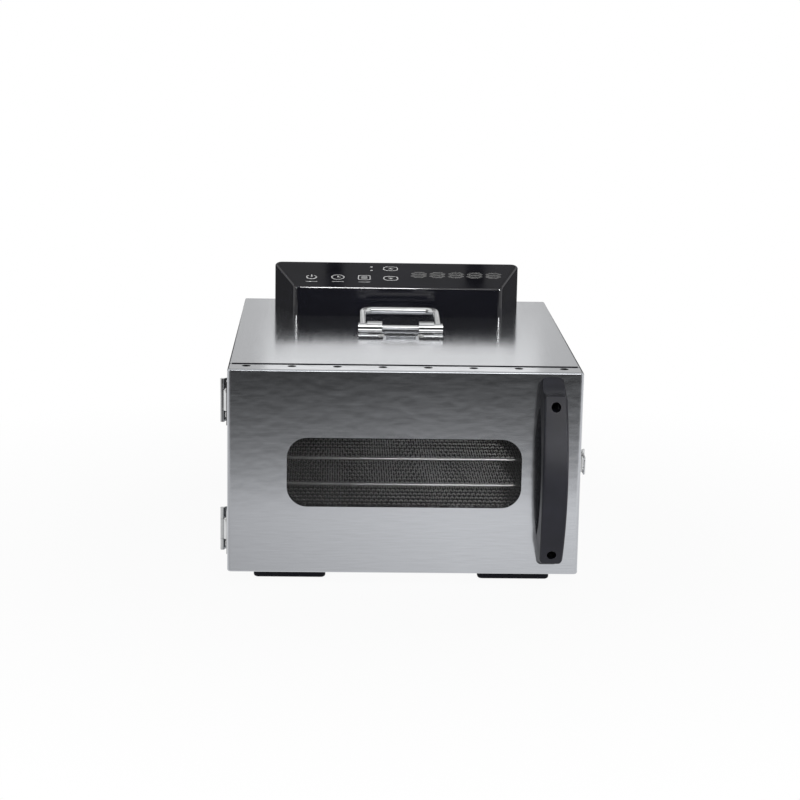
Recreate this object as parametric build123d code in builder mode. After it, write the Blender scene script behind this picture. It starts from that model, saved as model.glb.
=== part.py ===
from build123d import *
import os
from math import cos, floor, radians, sin, sqrt

os.makedirs("parts", exist_ok=True)

# Driving dimensions, in millimetres and degrees
# X is the width, Y runs from front to back, Z is up, and the feet stand on Z = 0

# Sheet-metal cabinet
cabinet_width = 345.0
cabinet_height = 203.0
cabinet_depth = 383.0
sheet = 1.0
bend_radius = 2.0
frame_width = 11.0
frame_lip = 10.0
frame_corner = 4.0
base_flange = 11.0
rear_flange = 12.0

# Clearances
fit_gap = 0.1
running_gap = 0.05
press_gap = 0.025
moving_gap = 0.3

# Screws
screw_radius = 1.5
screw_length = 6.0
screw_head_ratio = 1.7
screw_head_height = 1.3
screw_head_rounding = 0.6
screw_slot = 0.7

# Feet
foot_height = 14.5
foot_length = 71.5
foot_depth = 24.0
foot_corner = 5.0
foot_edge = 2.5
foot_offset = 111.8
foot_setback = 2.0
foot_screw_spacing = 40.0

# Door
door_depth = 27.0
door_gap = 2.0
door_bend = 4.0
vent_radius = 4.3
vent_setback = 18.0
vent_count = 8
vent_pitch = 44.2
seal_width = 7.0
seal_inset = 2.0

# Window
window_width = 229.0
window_height = 69.0
window_corner = 20.0
window_lap = 8.0
glass_thickness = 4.0
gasket_thickness = 1.5
gasket_inset = 2.0
surround_inset = 4.0

# Bow handle on the door
handle_offset = 142.0
handle_rise = 3.0
handle_reach = 56.0
handle_mid_width = 24.6
handle_end_width = 21.4
handle_foot_half = 94.0
handle_face_half = 83.5
handle_gap_half = 65.0
handle_end_reach = 35.0
handle_gap_reach = 39.0
handle_end_sag = 3.5
handle_end_round = 5.0
handle_edge = 2.0
handle_hole_spacing = 146.0
handle_bore = 4.6
handle_web = 9.0
handle_screw_radius = 2.0
handle_screw_head = 2.4

# Hinges
hinge_height = 43.0
hinge_inset = 36.5
hinge_offset = 5.8
hinge_leaf_width = 12.0
hinge_leaf = 1.2
hinge_shoulder = 5.0
hinge_screw_spacing = 24.0
knuckle_radius = 2.2
knuckle_middle = 20.0
hinge_pin_radius = 1.2

# Draw latch
latch_level = 106.0
latch_base_thickness = 1.2
latch_base_start = 2.0
latch_base_length = 39.0
latch_base_height = 18.0
latch_pivot_setback = 6.0
latch_pivot_height = 4.2
latch_pin_radius = 0.8
latch_ear = 1.0
latch_ear_radius = 2.4
lever_width = 10.0
lever_tail_width = 16.0
lever_thickness = 1.4
lever_length = 19.0
lever_tail_length = 7.0
lever_bill = 4.0
lever_bill_angle = 35.0
lever_rest_angle = 7.0
lever_eye_radius = 2.0
loop_arm = 8.0
loop_wire_radius = 1.0
loop_half_height = 8.2
loop_bend = 2.5
loop_reach = 25.6
loop_engage = 2.0
loop_clearance = 0.8
keeper_height = 13.0
keeper_length = 7.5
keeper_lip = 1.4
keeper_rise = 3.4
latch_screw_inset = 4.0
latch_screw_pitch = 6.0
keeper_screw_spacing = 6.5

# Trays and runners
tray_first_level = 25.4
tray_pitch = 26.4
tray_depth = 258.0
tray_front = 16.0
tray_side_gap = 2.0
tray_corner = 10.0
rim_radius = 1.6
mesh_thickness = 0.5
rib_radius = 1.2
rib_spacing = 105.0
runner_bearing = 8.0
runner_drop = 8.0
runner_front = 18.0
runner_back_gap = 4.0

# Fan and heater
fan_bay = 95.0
motor_bay = 55.0
fan_radius = 62.0
fan_disc = 1.2
fan_blade_height = 18.0
fan_blade_count = 10
fan_blade_root = 16.0
fan_setback = 10.0
hub_radius = 9.0
shaft_radius = 3.0
shaft_hole_radius = 8.0
motor_width = 62.0
motor_height = 52.0
motor_stack = 26.0
motor_coil_width = 34.0
motor_coil_depth = 38.0
motor_coil_drop = 16.0
pillar_radius = 3.0
pillar_length = 12.0
pillar_inset = 6.0
heater_radius = 74.0
heater_tube_radius = 3.2
heater_setback = 18.0
heater_gap_angle = 30.0
heater_terminal = 10.0
standoff_radius = 4.0
standoff_count = 3
baffle_hole_radius = 4.0
baffle_hole_pitch = 16.0
baffle_ring_count = 4
baffle_first_ring = 6
cutout_radius = 8.0
cutout_height = 6.0
cutout_offset = 105.0
cutout_plate_length = 24.0
cutout_plate_height = 8.0
probe_radius = 2.0
probe_reach = 8.0
probe_collar = 6.0
probe_collar_height = 2.0
probe_offset = 118.0

# Console on the rear of the top
console_depth = 76.0
console_rear_gap = 34.0
console_front_half = 114.0
console_rear_half = 140.0
console_front_corner = 9.0
console_rear_corner = 8.0
console_front_height = 32.3
console_slope = 12.5
console_wall = 2.5
console_edge = 2.5
touch_glass = 2.0
touch_glass_margin = 4.0
board_width = 210.0
board_height = 62.0
board_thickness = 1.6
board_drop = 9.0
board_post_radius = 3.0
board_post_inset = 6.0
display_width = 104.0
display_height = 30.0
display_offset = 67.0
console_boss_radius = 4.0
console_boss_height = 16.0
console_boss_inset = 14.0
console_cable_radius = 5.0
grommet_wall = 1.5
grommet_lip = 2.0
grommet_lip_height = 1.5

# Appliance inlet in the rear panel
inlet_offset = 112.0
inlet_level = 42.0
inlet_flange_width = 50.0
inlet_flange_height = 26.0
inlet_flange = 2.5
inlet_flange_corner = 5.0
inlet_body_width = 28.0
inlet_body_height = 20.5
inlet_body_depth = 22.0
inlet_wall = 2.0
inlet_socket_depth = 16.0
inlet_pin_width = 4.0
inlet_pin_thickness = 2.0
inlet_pin_length = 12.0
inlet_pin_spacing = 7.0
inlet_pin_rise = 2.0
inlet_screw_spacing = 40.0

# Rear vent slots
slot_length = 58.0
slot_height = 4.0
slot_pitch = 11.0
slot_count = 9
slot_column_offset = 38.0

# Folding carry handle
carry_setback = 198.0
carry_half = 44.5
carry_saddle_length = 25.0
carry_plate = 1.5
carry_plate_front = 28.0
carry_plate_back = 6.0
carry_bridge_half = 5.0
carry_tube_radius = 6.5
carry_tube_wall = 1.3
carry_lip_angle = 30.0
carry_pin_radius = 2.6
carry_eye_radius = 4.7
carry_eye_length = 9.0
bail_radius = 4.0
bail_reach = 60.0
bail_bend = 12.0
bail_rest_angle = 7.6
carry_ear_radius = 6.0
carry_screw_half = 20.5
carry_screw_setback = 20.0
carry_screw_radius = 2.0

# Positions that follow from the sizes above
half_width = cabinet_width / 2
inner_half = half_width - sheet
floor_z = foot_height
roof_z = floor_z + cabinet_height
middle_z = floor_z + cabinet_height / 2
total_depth = door_depth + door_gap + cabinet_depth
door_front = (handle_reach - inlet_flange - total_depth) / 2
handle_z = middle_z + handle_rise
door_back = door_front + door_depth
cabinet_front = door_back + door_gap
cabinet_back = cabinet_front + cabinet_depth
baffle_y = cabinet_back - fan_bay
fan_wall_y = cabinet_back - motor_bay
opening_half = inner_half - frame_width
opening_height = cabinet_height - 2 * (sheet + frame_width)
plate_half = inner_half - sheet - fit_gap
inner_height = cabinet_height - 2 * sheet
screw_hole = screw_radius + fit_gap

# A round piece that stands on its place, and one that hangs from it
standing = (Align.CENTER, Align.CENTER, Align.MIN)
hanging = (Align.CENTER, Align.CENTER, Align.MAX)


def front_plane(y):
    # local x is X and local y is Z, so a negative extrusion goes to the back
    return Plane(origin=(0, y, 0), x_dir=(1, 0, 0), z_dir=(0, -1, 0))


def side_plane(side, y, z, stand_off=0.0):
    # a plane on the left (-1) or right (1) outer side, facing out
    return Plane(origin=(side * (half_width + stand_off), y, z), x_dir=(0, 1, 0), z_dir=(side, 0, 0))


def save(piece, name):
    piece.part.label = name
    export_step(piece.part, f"parts/{name}.step")


def pan_screw(shank_radius, shank_length, head_height):
    # the head seats on local z = 0 and the shank goes down from it
    head_radius = shank_radius * screw_head_ratio
    with BuildPart() as screw:
        Cylinder(shank_radius, shank_length, align=hanging)
        Cylinder(head_radius, head_height, align=standing)
        fillet(screw.edges().group_by(Axis.Z)[-1], head_height * screw_head_rounding)
        with Locations((0, 0, head_height)):
            Box(head_radius, screw_slot, head_height, mode=Mode.SUBTRACT)
            Box(screw_slot, head_radius, head_height, mode=Mode.SUBTRACT)
    return screw.part


def save_screws(name, shape, planes):
    with BuildPart() as screws:
        with Locations(*planes):
            add(shape)
    save(screws, name)


sheet_screw = pan_screw(screw_radius, screw_length, screw_head_height)

# Places of the screws, each a plane that the screw's head seats on

# The shell is screwed to the rear panel's side flanges and the base pan's side flanges
shell_screw_places = []
for side in (-1, 1):
    for rise in (-cabinet_height / 4, cabinet_height / 4):
        shell_screw_places.append((side, cabinet_back - rear_flange / 2, middle_z + rise))
    for screw_y in (cabinet_front + cabinet_depth / 4, (baffle_y + fan_wall_y) / 2):
        shell_screw_places.append((side, screw_y, floor_z + base_flange / 2))
shell_screw_planes = [side_plane(*place) for place in shell_screw_places]

# Hinges, with the axis level with the middle of the door gap
hinge_y = door_back + door_gap / 2
hinge_x = -half_width - hinge_offset
hinge_levels = (floor_z + hinge_inset, roof_z - hinge_inset)
hinge_leaf_centre = hinge_shoulder + hinge_leaf_width / 2
hinge_cabinet_planes = []
hinge_door_planes = []
for level in hinge_levels:
    for rise in (-hinge_screw_spacing / 2, hinge_screw_spacing / 2):
        hinge_cabinet_planes.append(side_plane(-1, hinge_y + hinge_leaf_centre, level + rise, hinge_leaf))
        hinge_door_planes.append(side_plane(-1, hinge_y - hinge_leaf_centre, level + rise, hinge_leaf))

# Latch on the right side, drawn closed but just clear of its keeper
latch_z = floor_z + latch_level
latch_base_end = latch_base_start + latch_base_length
latch_screw_planes = []
for step in (0, 1):
    screw_y = cabinet_front + latch_base_end - latch_screw_inset - step * latch_screw_pitch
    latch_screw_planes.append(side_plane(1, screw_y, latch_z, latch_base_thickness))
lever_pivot = (half_width + latch_pivot_height, cabinet_front + latch_pivot_setback)
loop_pivot_x = lever_pivot[0] + loop_arm * sin(radians(lever_rest_angle))
loop_pivot_y = lever_pivot[1] + loop_arm * cos(radians(lever_rest_angle))
loop_bar_y = loop_pivot_y - loop_reach
keeper_front = loop_bar_y + loop_wire_radius + loop_clearance
keeper_screw_y = keeper_front + (keeper_lip + keeper_length) / 2
keeper_screw_planes = []
for rise in (-keeper_screw_spacing / 2, keeper_screw_spacing / 2):
    keeper_screw_planes.append(side_plane(1, keeper_screw_y, latch_z + rise, latch_base_thickness))

# Feet
foot_front_y = cabinet_front + foot_setback + foot_depth / 2
foot_back_y = cabinet_back - foot_setback - foot_depth / 2
foot_places = {
    "front_left_foot": (-foot_offset, foot_front_y),
    "front_right_foot": (foot_offset, foot_front_y),
    "back_left_foot": (-foot_offset, foot_back_y),
    "back_right_foot": (foot_offset, foot_back_y),
}
foot_screw_planes = []
for foot_x, foot_y in foot_places.values():
    for shift in (-foot_screw_spacing / 2, foot_screw_spacing / 2):
        foot_screw_planes.append(Plane(origin=(foot_x + shift, foot_y, floor_z + sheet)))

# Carry handle
carry_y = door_front + carry_setback
carry_z = roof_z + carry_tube_radius
carry_screw_planes = []
for side in (-1, 1):
    carry_screw_planes.append(
        Plane(origin=(side * carry_screw_half, carry_y - carry_screw_setback, roof_z + carry_plate))
    )

# Console
console_back = cabinet_back - console_rear_gap
console_front = console_back - console_depth
console_cable_place = Vector(0, (fan_wall_y + console_back) / 2, roof_z)
console_face = Plane(
    origin=(0, console_front, roof_z + console_front_height),
    x_dir=(1, 0, 0),
    z_dir=(0, -sin(radians(console_slope)), cos(radians(console_slope))),
)
console_screw_planes = []
console_boss_setback = console_wall + console_boss_radius / 2
for side in (-1, 1):
    boss_front = (side * (console_front_half - console_boss_inset), console_front + console_boss_setback)
    boss_back = (side * (console_rear_half - console_boss_inset), console_back - console_boss_setback)
    for boss_x, boss_y in (boss_front, boss_back):
        console_screw_planes.append(
            Plane(origin=(boss_x, boss_y, roof_z - sheet), x_dir=(1, 0, 0), z_dir=(0, 0, -1))
        )

# Inlet
inlet_z = floor_z + inlet_level
inlet_screw_planes = []
for shift in (-inlet_screw_spacing / 2, inlet_screw_spacing / 2):
    inlet_screw_planes.append(
        Plane(
            origin=(inlet_offset + shift, cabinet_back + inlet_flange, inlet_z),
            x_dir=(1, 0, 0),
            z_dir=(0, 1, 0),
        )
    )

# Cabinet shell: one folded sheet for the top and both sides
with BuildPart() as cabinet_shell:
    with BuildSketch(front_plane(cabinet_front)):
        with Locations((0, middle_z)):
            Rectangle(cabinet_width, cabinet_height)
        with Locations((0, floor_z)):
            Rectangle(
                2 * inner_half,
                cabinet_height - sheet,
                align=(Align.CENTER, Align.MIN),
                mode=Mode.SUBTRACT,
            )
    extrude(amount=-cabinet_depth)
    fillet(cabinet_shell.edges().filter_by(Axis.Y).group_by(Axis.Z)[-2], bend_radius - sheet)
    fillet(cabinet_shell.edges().filter_by(Axis.Y).group_by(Axis.Z)[-1], bend_radius)
    with Locations(*shell_screw_planes, *hinge_cabinet_planes, *latch_screw_planes):
        Hole(screw_hole, screw_length / 2)
    with Locations(*carry_screw_planes):
        Hole(carry_screw_radius + fit_gap, screw_length / 2)
    with Locations(*console_screw_planes):
        Hole(screw_hole, 2 * sheet)
    with Locations(console_cable_place):
        Hole(console_cable_radius, 2 * sheet)
save(cabinet_shell, "cabinet_shell")

# Base pan, folded up along both sides
with BuildPart() as base_pan:
    with BuildSketch(Plane.XY.offset(floor_z)):
        with Locations((0, (cabinet_front + cabinet_back) / 2)):
            Rectangle(2 * inner_half, cabinet_depth)
    extrude(amount=sheet)
    flange_length = cabinet_depth - 2 * sheet - rear_flange
    with BuildSketch(front_plane(cabinet_front + sheet)):
        for side, align in ((-1, Align.MIN), (1, Align.MAX)):
            with Locations((side * inner_half, floor_z)):
                Rectangle(sheet, base_flange, align=(align, Align.MIN))
    extrude(amount=-flange_length)
    with Locations(*shell_screw_planes):
        Hole(screw_hole, screw_length)
    with Locations(*foot_screw_planes):
        Hole(screw_hole, 2 * sheet)
save(base_pan, "base_pan")

# Front frame that the door seal closes on
with BuildPart() as front_frame:
    with BuildSketch(front_plane(cabinet_front)):
        with Locations((0, middle_z)):
            RectangleRounded(2 * inner_half, inner_height, bend_radius)
            RectangleRounded(2 * opening_half, opening_height, frame_corner, mode=Mode.SUBTRACT)
    extrude(amount=-sheet)
    with BuildSketch(front_plane(cabinet_front)):
        with Locations((0, middle_z)):
            RectangleRounded(2 * (opening_half + sheet), opening_height + 2 * sheet, frame_corner + sheet)
            RectangleRounded(2 * opening_half, opening_height, frame_corner, mode=Mode.SUBTRACT)
    extrude(amount=-frame_lip)
save(front_frame, "front_frame")

# Rear panel with side flanges, vent slots and the inlet's cut-out
with BuildPart() as rear_panel:
    with BuildSketch(front_plane(cabinet_back - sheet)):
        with Locations((0, middle_z)):
            RectangleRounded(2 * inner_half, inner_height, bend_radius)
        with Locations((-slot_column_offset, middle_z), (slot_column_offset, middle_z)):
            with GridLocations(0, slot_pitch, 1, slot_count):
                SlotOverall(slot_length, slot_height, mode=Mode.SUBTRACT)
        with Locations((inlet_offset, inlet_z)):
            Rectangle(
                inlet_body_width + 2 * fit_gap,
                inlet_body_height + 2 * fit_gap,
                mode=Mode.SUBTRACT,
            )
    extrude(amount=-sheet)
    with BuildSketch(front_plane(cabinet_back - rear_flange)):
        for side, align in ((-1, Align.MIN), (1, Align.MAX)):
            with Locations((side * inner_half, middle_z)):
                Rectangle(sheet, inner_height - 2 * base_flange, align=(align, Align.CENTER))
    extrude(amount=-rear_flange)
    with Locations(*shell_screw_planes):
        Hole(screw_hole, screw_length)
    with Locations(*inlet_screw_planes):
        Hole(screw_hole, screw_length)
save(rear_panel, "rear_panel")

# Shell and inlet screws
save_screws("cabinet_screws", sheet_screw, shell_screw_planes + inlet_screw_planes)

# Tray levels, as many as fit between the base pan and the frame's top edge
tray_zone = cabinet_height - sheet - frame_width - tray_first_level
tray_count = floor(tray_zone / tray_pitch)
tray_levels = [floor_z + tray_first_level + step * tray_pitch for step in range(tray_count)]
tray_half = opening_half - tray_side_gap
tray_front_y = cabinet_front + tray_front
runner_reach = inner_half - tray_half + runner_bearing
runner_front_y = cabinet_front + runner_front
runner_length = baffle_y - runner_back_gap - runner_front_y

# Runners: an angle for each tray on each wall
for name, side, align in (("left_runners", -1, Align.MIN), ("right_runners", 1, Align.MAX)):
    runner_places = [(side * inner_half, level - rim_radius - moving_gap) for level in tray_levels]
    with BuildPart() as runners:
        with BuildSketch(front_plane(runner_front_y)):
            with Locations(*runner_places):
                Rectangle(runner_reach, sheet, align=(align, Align.MAX))
                Rectangle(sheet, runner_drop, align=(align, Align.MAX))
        extrude(amount=-runner_length)
    save(runners, name)

# Trays: a wire rim, a mesh sheet inside it and two stiffening wires under it
rim_half = tray_half - rim_radius
rim_front = tray_front_y + rim_radius
rim_back = tray_front_y + tray_depth - rim_radius
for number, level in enumerate(tray_levels, start=1):
    tray_corners = [
        (-rim_half, rim_front),
        (rim_half, rim_front),
        (rim_half, rim_back),
        (-rim_half, rim_back),
    ]
    with BuildPart() as tray:
        with BuildLine(Plane.XY.offset(level)) as rim:
            FilletPolyline(*tray_corners, radius=tray_corner, close=True)
        with BuildSketch(Plane(origin=rim.line @ 0, z_dir=rim.line % 0)):
            Circle(rim_radius)
        sweep(path=rim.line)
        with BuildSketch(Plane.XY.offset(level - mesh_thickness / 2)):
            with Locations((0, (rim_front + rim_back) / 2)):
                RectangleRounded(2 * rim_half, rim_back - rim_front, tray_corner)
        extrude(amount=mesh_thickness)
        with BuildSketch(front_plane(rim_front)):
            with Locations((0, level - mesh_thickness / 2 - rib_radius / 2)):
                with GridLocations(rib_spacing, 0, 2, 1):
                    Circle(rib_radius)
        extrude(amount=-(rim_back - rim_front))
    save(tray, f"tray_{number}")

# Pierced baffle between the trays and the fan
probe_z = middle_z + cabinet_height / 4
with BuildPart() as air_baffle:
    with BuildSketch(front_plane(baffle_y)):
        with Locations((0, middle_z)):
            RectangleRounded(2 * plate_half, inner_height, bend_radius)
            for ring in range(1, baffle_ring_count + 1):
                with PolarLocations(ring * baffle_hole_pitch, ring * baffle_first_ring):
                    Circle(baffle_hole_radius, mode=Mode.SUBTRACT)
        with Locations((-probe_offset, probe_z)):
            Circle(probe_radius + fit_gap, mode=Mode.SUBTRACT)
    extrude(amount=-sheet)
save(air_baffle, "air_baffle")

# Probe that measures the air, held in the baffle by its collar
with BuildPart() as temperature_probe:
    with BuildSketch(front_plane(baffle_y)):
        with Locations((-probe_offset, probe_z)):
            Circle(probe_collar)
    extrude(amount=probe_collar_height)
    with BuildSketch(front_plane(baffle_y - probe_reach)):
        with Locations((-probe_offset, probe_z)):
            Circle(probe_radius)
    extrude(amount=-(2 * probe_reach))
save(temperature_probe, "temperature_probe")

# Fan wall that carries the motor, the heater and the thermal cut-out
heater_y = fan_wall_y - heater_setback
half_gap = radians(heater_gap_angle / 2)
heater_ends = [
    (-heater_radius * sin(half_gap), middle_z - heater_radius * cos(half_gap)),
    (heater_radius * sin(half_gap), middle_z - heater_radius * cos(half_gap)),
]
with BuildPart() as fan_wall:
    with BuildSketch(front_plane(fan_wall_y)):
        with Locations((0, middle_z)):
            RectangleRounded(2 * plate_half, inner_height, bend_radius)
            Circle(shaft_hole_radius, mode=Mode.SUBTRACT)
        with Locations(*heater_ends):
            Circle(heater_tube_radius + fit_gap, mode=Mode.SUBTRACT)
    extrude(amount=-sheet)
save(fan_wall, "fan_wall")

# Ring heater with two terminals that pass back through the fan wall
heater_start = Plane(
    origin=(0, heater_y, middle_z),
    x_dir=(-sin(half_gap), 0, -cos(half_gap)),
    z_dir=(cos(half_gap), 0, -sin(half_gap)),
)
with BuildPart() as heater_ring:
    with BuildSketch(heater_start):
        with Locations((heater_radius, 0)):
            Circle(heater_tube_radius)
    revolve(axis=Axis((0, heater_y, middle_z), (0, 1, 0)), revolution_arc=360 - heater_gap_angle)
    with BuildSketch(front_plane(heater_y)):
        with Locations(*heater_ends):
            Circle(heater_tube_radius)
    extrude(amount=-(heater_setback + sheet + heater_terminal))
    with Locations(*[(x, heater_y, z) for x, z in heater_ends]):
        Sphere(heater_tube_radius)
save(heater_ring, "heater_ring")

# Ceramic standoffs between the fan wall and the ring
with BuildPart() as heater_standoffs:
    with BuildSketch(front_plane(fan_wall_y)):
        with Locations((0, middle_z)):
            with PolarLocations(heater_radius, standoff_count, start_angle=90):
                Circle(standoff_radius)
    extrude(amount=heater_setback - heater_tube_radius - fit_gap)
save(heater_standoffs, "heater_standoffs")

# Thermal cut-out, a disc on a small plate
with BuildPart() as thermal_cutout:
    with BuildSketch(front_plane(fan_wall_y)):
        with Locations((cutout_offset, middle_z)):
            SlotOverall(cutout_plate_length, cutout_plate_height)
    extrude(amount=sheet)
    with BuildSketch(front_plane(fan_wall_y)):
        with Locations((cutout_offset, middle_z)):
            Circle(cutout_radius)
    extrude(amount=cutout_height)
save(thermal_cutout, "thermal_cutout")

# Motor on four pillars behind the fan wall
motor_front = fan_wall_y + sheet + pillar_length
with BuildPart() as fan_motor:
    with BuildSketch(front_plane(motor_front)):
        with Locations((0, middle_z)):
            Rectangle(motor_width, motor_height)
    extrude(amount=-motor_stack)
    with BuildSketch(front_plane(motor_front + (motor_stack - motor_coil_depth) / 2)):
        with Locations((0, middle_z - motor_height / 2)):
            RectangleRounded(motor_coil_width, 2 * motor_coil_drop, motor_coil_drop / 2)
    extrude(amount=-motor_coil_depth)
    with BuildSketch(front_plane(motor_front)):
        with Locations((0, middle_z)):
            Circle(shaft_radius + running_gap)
    extrude(amount=-motor_stack, mode=Mode.SUBTRACT)
save(fan_motor, "fan_motor")

with BuildPart() as motor_pillars:
    with BuildSketch(front_plane(motor_front)):
        with Locations((0, middle_z)):
            with GridLocations(motor_width - 2 * pillar_inset, motor_height - 2 * pillar_inset, 2, 2):
                Circle(pillar_radius)
    extrude(amount=pillar_length)
save(motor_pillars, "motor_pillars")

# Shaft and impeller, which turn together
impeller_back = fan_wall_y - fan_setback
impeller_front = impeller_back - fan_disc - fan_blade_height
with BuildPart() as fan_shaft:
    with BuildSketch(front_plane(motor_front + motor_stack)):
        with Locations((0, middle_z)):
            Circle(shaft_radius)
    extrude(amount=motor_front + motor_stack - impeller_front)
save(fan_shaft, "fan_shaft")

with BuildPart() as fan_impeller:
    with BuildSketch(front_plane(impeller_back)):
        with Locations((0, middle_z)):
            Circle(fan_radius)
    extrude(amount=fan_disc)
    with BuildSketch(front_plane(impeller_back)):
        with Locations((0, middle_z)):
            Circle(hub_radius)
            blade_length = fan_radius - fan_blade_root
            with PolarLocations(fan_blade_root + blade_length / 2, fan_blade_count):
                Rectangle(blade_length, fan_disc)
    extrude(amount=fan_disc + fan_blade_height)
    with BuildSketch(front_plane(impeller_back)):
        with Locations((0, middle_z)):
            Circle(shaft_radius)
    extrude(amount=fan_disc + fan_blade_height, mode=Mode.SUBTRACT)
save(fan_impeller, "fan_impeller")

# Feet, moulded rubber bars with a rounded underside
for name, (foot_x, foot_y) in foot_places.items():
    with BuildPart() as foot:
        with BuildSketch():
            with Locations((foot_x, foot_y)):
                RectangleRounded(foot_length, foot_depth, foot_corner)
        extrude(amount=foot_height)
        fillet(foot.faces().sort_by(Axis.Z)[0].edges(), foot_edge)
        with Locations(*foot_screw_planes):
            Hole(screw_hole, screw_length + fit_gap)
    save(foot, name)
save_screws("foot_screws", sheet_screw, foot_screw_planes)

# Carry handle base: two rolled saddles on a plate with a narrow bridge
saddle_inner = carry_half - carry_saddle_length
eye_start = carry_half - fit_gap - carry_eye_length
with BuildPart() as carry_base:
    with BuildSketch(Plane.XY.offset(roof_z)):
        for side in (-1, 1):
            with Locations((side * (carry_half - carry_saddle_length / 2), carry_y + carry_plate_back)):
                Rectangle(
                    carry_saddle_length,
                    carry_plate_front + carry_plate_back,
                    align=(Align.CENTER, Align.MAX),
                )
            with Locations((side * carry_screw_half, carry_y - carry_screw_setback)):
                Circle(carry_ear_radius)
        with Locations((0, carry_y)):
            Rectangle(2 * saddle_inner, 2 * carry_bridge_half)
    extrude(amount=carry_plate)
    for side in (-1, 1):
        with BuildSketch(Plane.YZ.offset(side * saddle_inner)):
            with Locations((carry_y, carry_z)):
                Circle(carry_tube_radius)
                Rectangle(2 * carry_bridge_half, carry_tube_radius, align=(Align.CENTER, Align.MAX))
        extrude(amount=side * (eye_start - moving_gap - saddle_inner))
        with BuildSketch(Plane.YZ.offset(side * saddle_inner)):
            with Locations((carry_y, carry_z)):
                Circle(carry_tube_radius)
                Circle(carry_tube_radius - carry_tube_wall, mode=Mode.SUBTRACT)
                Rectangle(
                    2 * carry_tube_radius,
                    4 * carry_tube_radius,
                    align=(Align.MIN, Align.CENTER),
                    mode=Mode.SUBTRACT,
                )
                Rectangle(
                    2 * carry_tube_radius,
                    2 * carry_tube_radius,
                    rotation=-carry_lip_angle,
                    align=(Align.CENTER, Align.MIN),
                    mode=Mode.SUBTRACT,
                )
        extrude(amount=side * carry_saddle_length)
    with BuildSketch(Plane.YZ.offset(-carry_half)):
        with Locations((carry_y, carry_z)):
            Circle(carry_pin_radius + running_gap)
    extrude(amount=2 * carry_half, mode=Mode.SUBTRACT)
    with Locations(*carry_screw_planes):
        Hole(carry_screw_radius + fit_gap, screw_length)
save(carry_base, "carry_base")

with BuildPart() as carry_pin:
    with BuildSketch(Plane.YZ.offset(-carry_half)):
        with Locations((carry_y, carry_z)):
            Circle(carry_pin_radius)
    extrude(amount=2 * carry_half)
save(carry_pin, "carry_pin")

# Bail, a bent rod with an eye at each end, lying back at its rest angle
bail_plane = Plane(
    origin=(0, carry_y, carry_z),
    x_dir=(1, 0, 0),
    z_dir=(0, -sin(radians(bail_rest_angle)), cos(radians(bail_rest_angle))),
)
bail_half = eye_start + carry_eye_length / 2
with BuildPart() as carry_bail:
    with BuildLine(bail_plane) as bail_path:
        FilletPolyline(
            (-bail_half, 0),
            (-bail_half, bail_reach),
            (bail_half, bail_reach),
            (bail_half, 0),
            radius=bail_bend,
        )
    with BuildSketch(Plane(origin=bail_path.line @ 0, z_dir=bail_path.line % 0)):
        Circle(bail_radius)
    sweep(path=bail_path.line)
    for side in (-1, 1):
        with BuildSketch(Plane.YZ.offset(side * eye_start)):
            with Locations((carry_y, carry_z)):
                Circle(carry_eye_radius)
        extrude(amount=side * carry_eye_length)
    with BuildSketch(Plane.YZ.offset(-carry_half)):
        with Locations((carry_y, carry_z)):
            Circle(carry_pin_radius + running_gap)
    extrude(amount=2 * carry_half, mode=Mode.SUBTRACT)
save(carry_bail, "carry_bail")

carry_screw = pan_screw(carry_screw_radius, screw_length, screw_head_height)
save_screws("carry_screws", carry_screw, carry_screw_planes)


def console_outline(plane, front, depth, inset):
    # the console seen from above: a straight front, flared sides and a wider back
    corners = [
        (-console_front_half, front),
        (console_front_half, front),
        (console_rear_half, front + depth),
        (-console_rear_half, front + depth),
    ]
    radii = [console_front_corner, console_front_corner, console_rear_corner, console_rear_corner]
    with BuildSketch(plane) as outline:
        with BuildLine():
            FilletPolyline(*corners, radius=radii, close=True)
        make_face()
        if inset:
            offset(amount=-inset, mode=Mode.REPLACE)
    return outline.sketch


console_roof = Plane.XY.offset(roof_z)
console_rise = console_front_height + 2 * console_depth * sin(radians(console_slope))
face_depth = console_depth / cos(radians(console_slope))
console_plan = console_outline(console_roof, console_front, console_depth, 0)
cavity_plan = console_outline(console_roof, console_front, console_depth, console_wall)
glass_pocket = console_outline(console_face, 0, face_depth, touch_glass_margin)
glass_plan = console_outline(console_face, 0, face_depth, touch_glass_margin + fit_gap)
cavity_top = touch_glass + console_wall
board_front = face_depth / 2
board_top = cavity_top + board_drop

# Inside of the console, cut out of the housing
with BuildPart() as console_cavity:
    extrude(cavity_plan, amount=console_rise)
    split(bisect_by=console_face.offset(-cavity_top), keep=Keep.BOTTOM)

# Posts that carry the circuit board and bosses for the screws
with BuildPart() as console_posts:
    with BuildSketch(console_face.offset(-board_top)):
        with Locations((0, board_front)):
            with GridLocations(
                board_width - 2 * board_post_inset,
                board_height - 2 * board_post_inset,
                2,
                2,
            ):
                Circle(board_post_radius)
    extrude(amount=board_drop)
    with BuildSketch(console_roof):
        with Locations(*[(plane.origin.X, plane.origin.Y) for plane in console_screw_planes]):
            Circle(console_boss_radius)
    extrude(amount=console_boss_height)

with BuildPart() as console_housing:
    extrude(console_plan, amount=console_rise)
    split(bisect_by=console_face, keep=Keep.BOTTOM)
    fillet(console_housing.faces().sort_by(Axis.Z)[-1].edges(), console_edge)
    add(console_cavity.part, mode=Mode.SUBTRACT)
    extrude(glass_pocket, amount=-touch_glass, mode=Mode.SUBTRACT)
    add(console_posts.part)
    with Locations(*console_screw_planes):
        Hole(screw_hole, screw_length + fit_gap)
save(console_housing, "console_housing")

with BuildPart() as console_glass:
    extrude(glass_plan, amount=-touch_glass)
save(console_glass, "console_glass")

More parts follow.
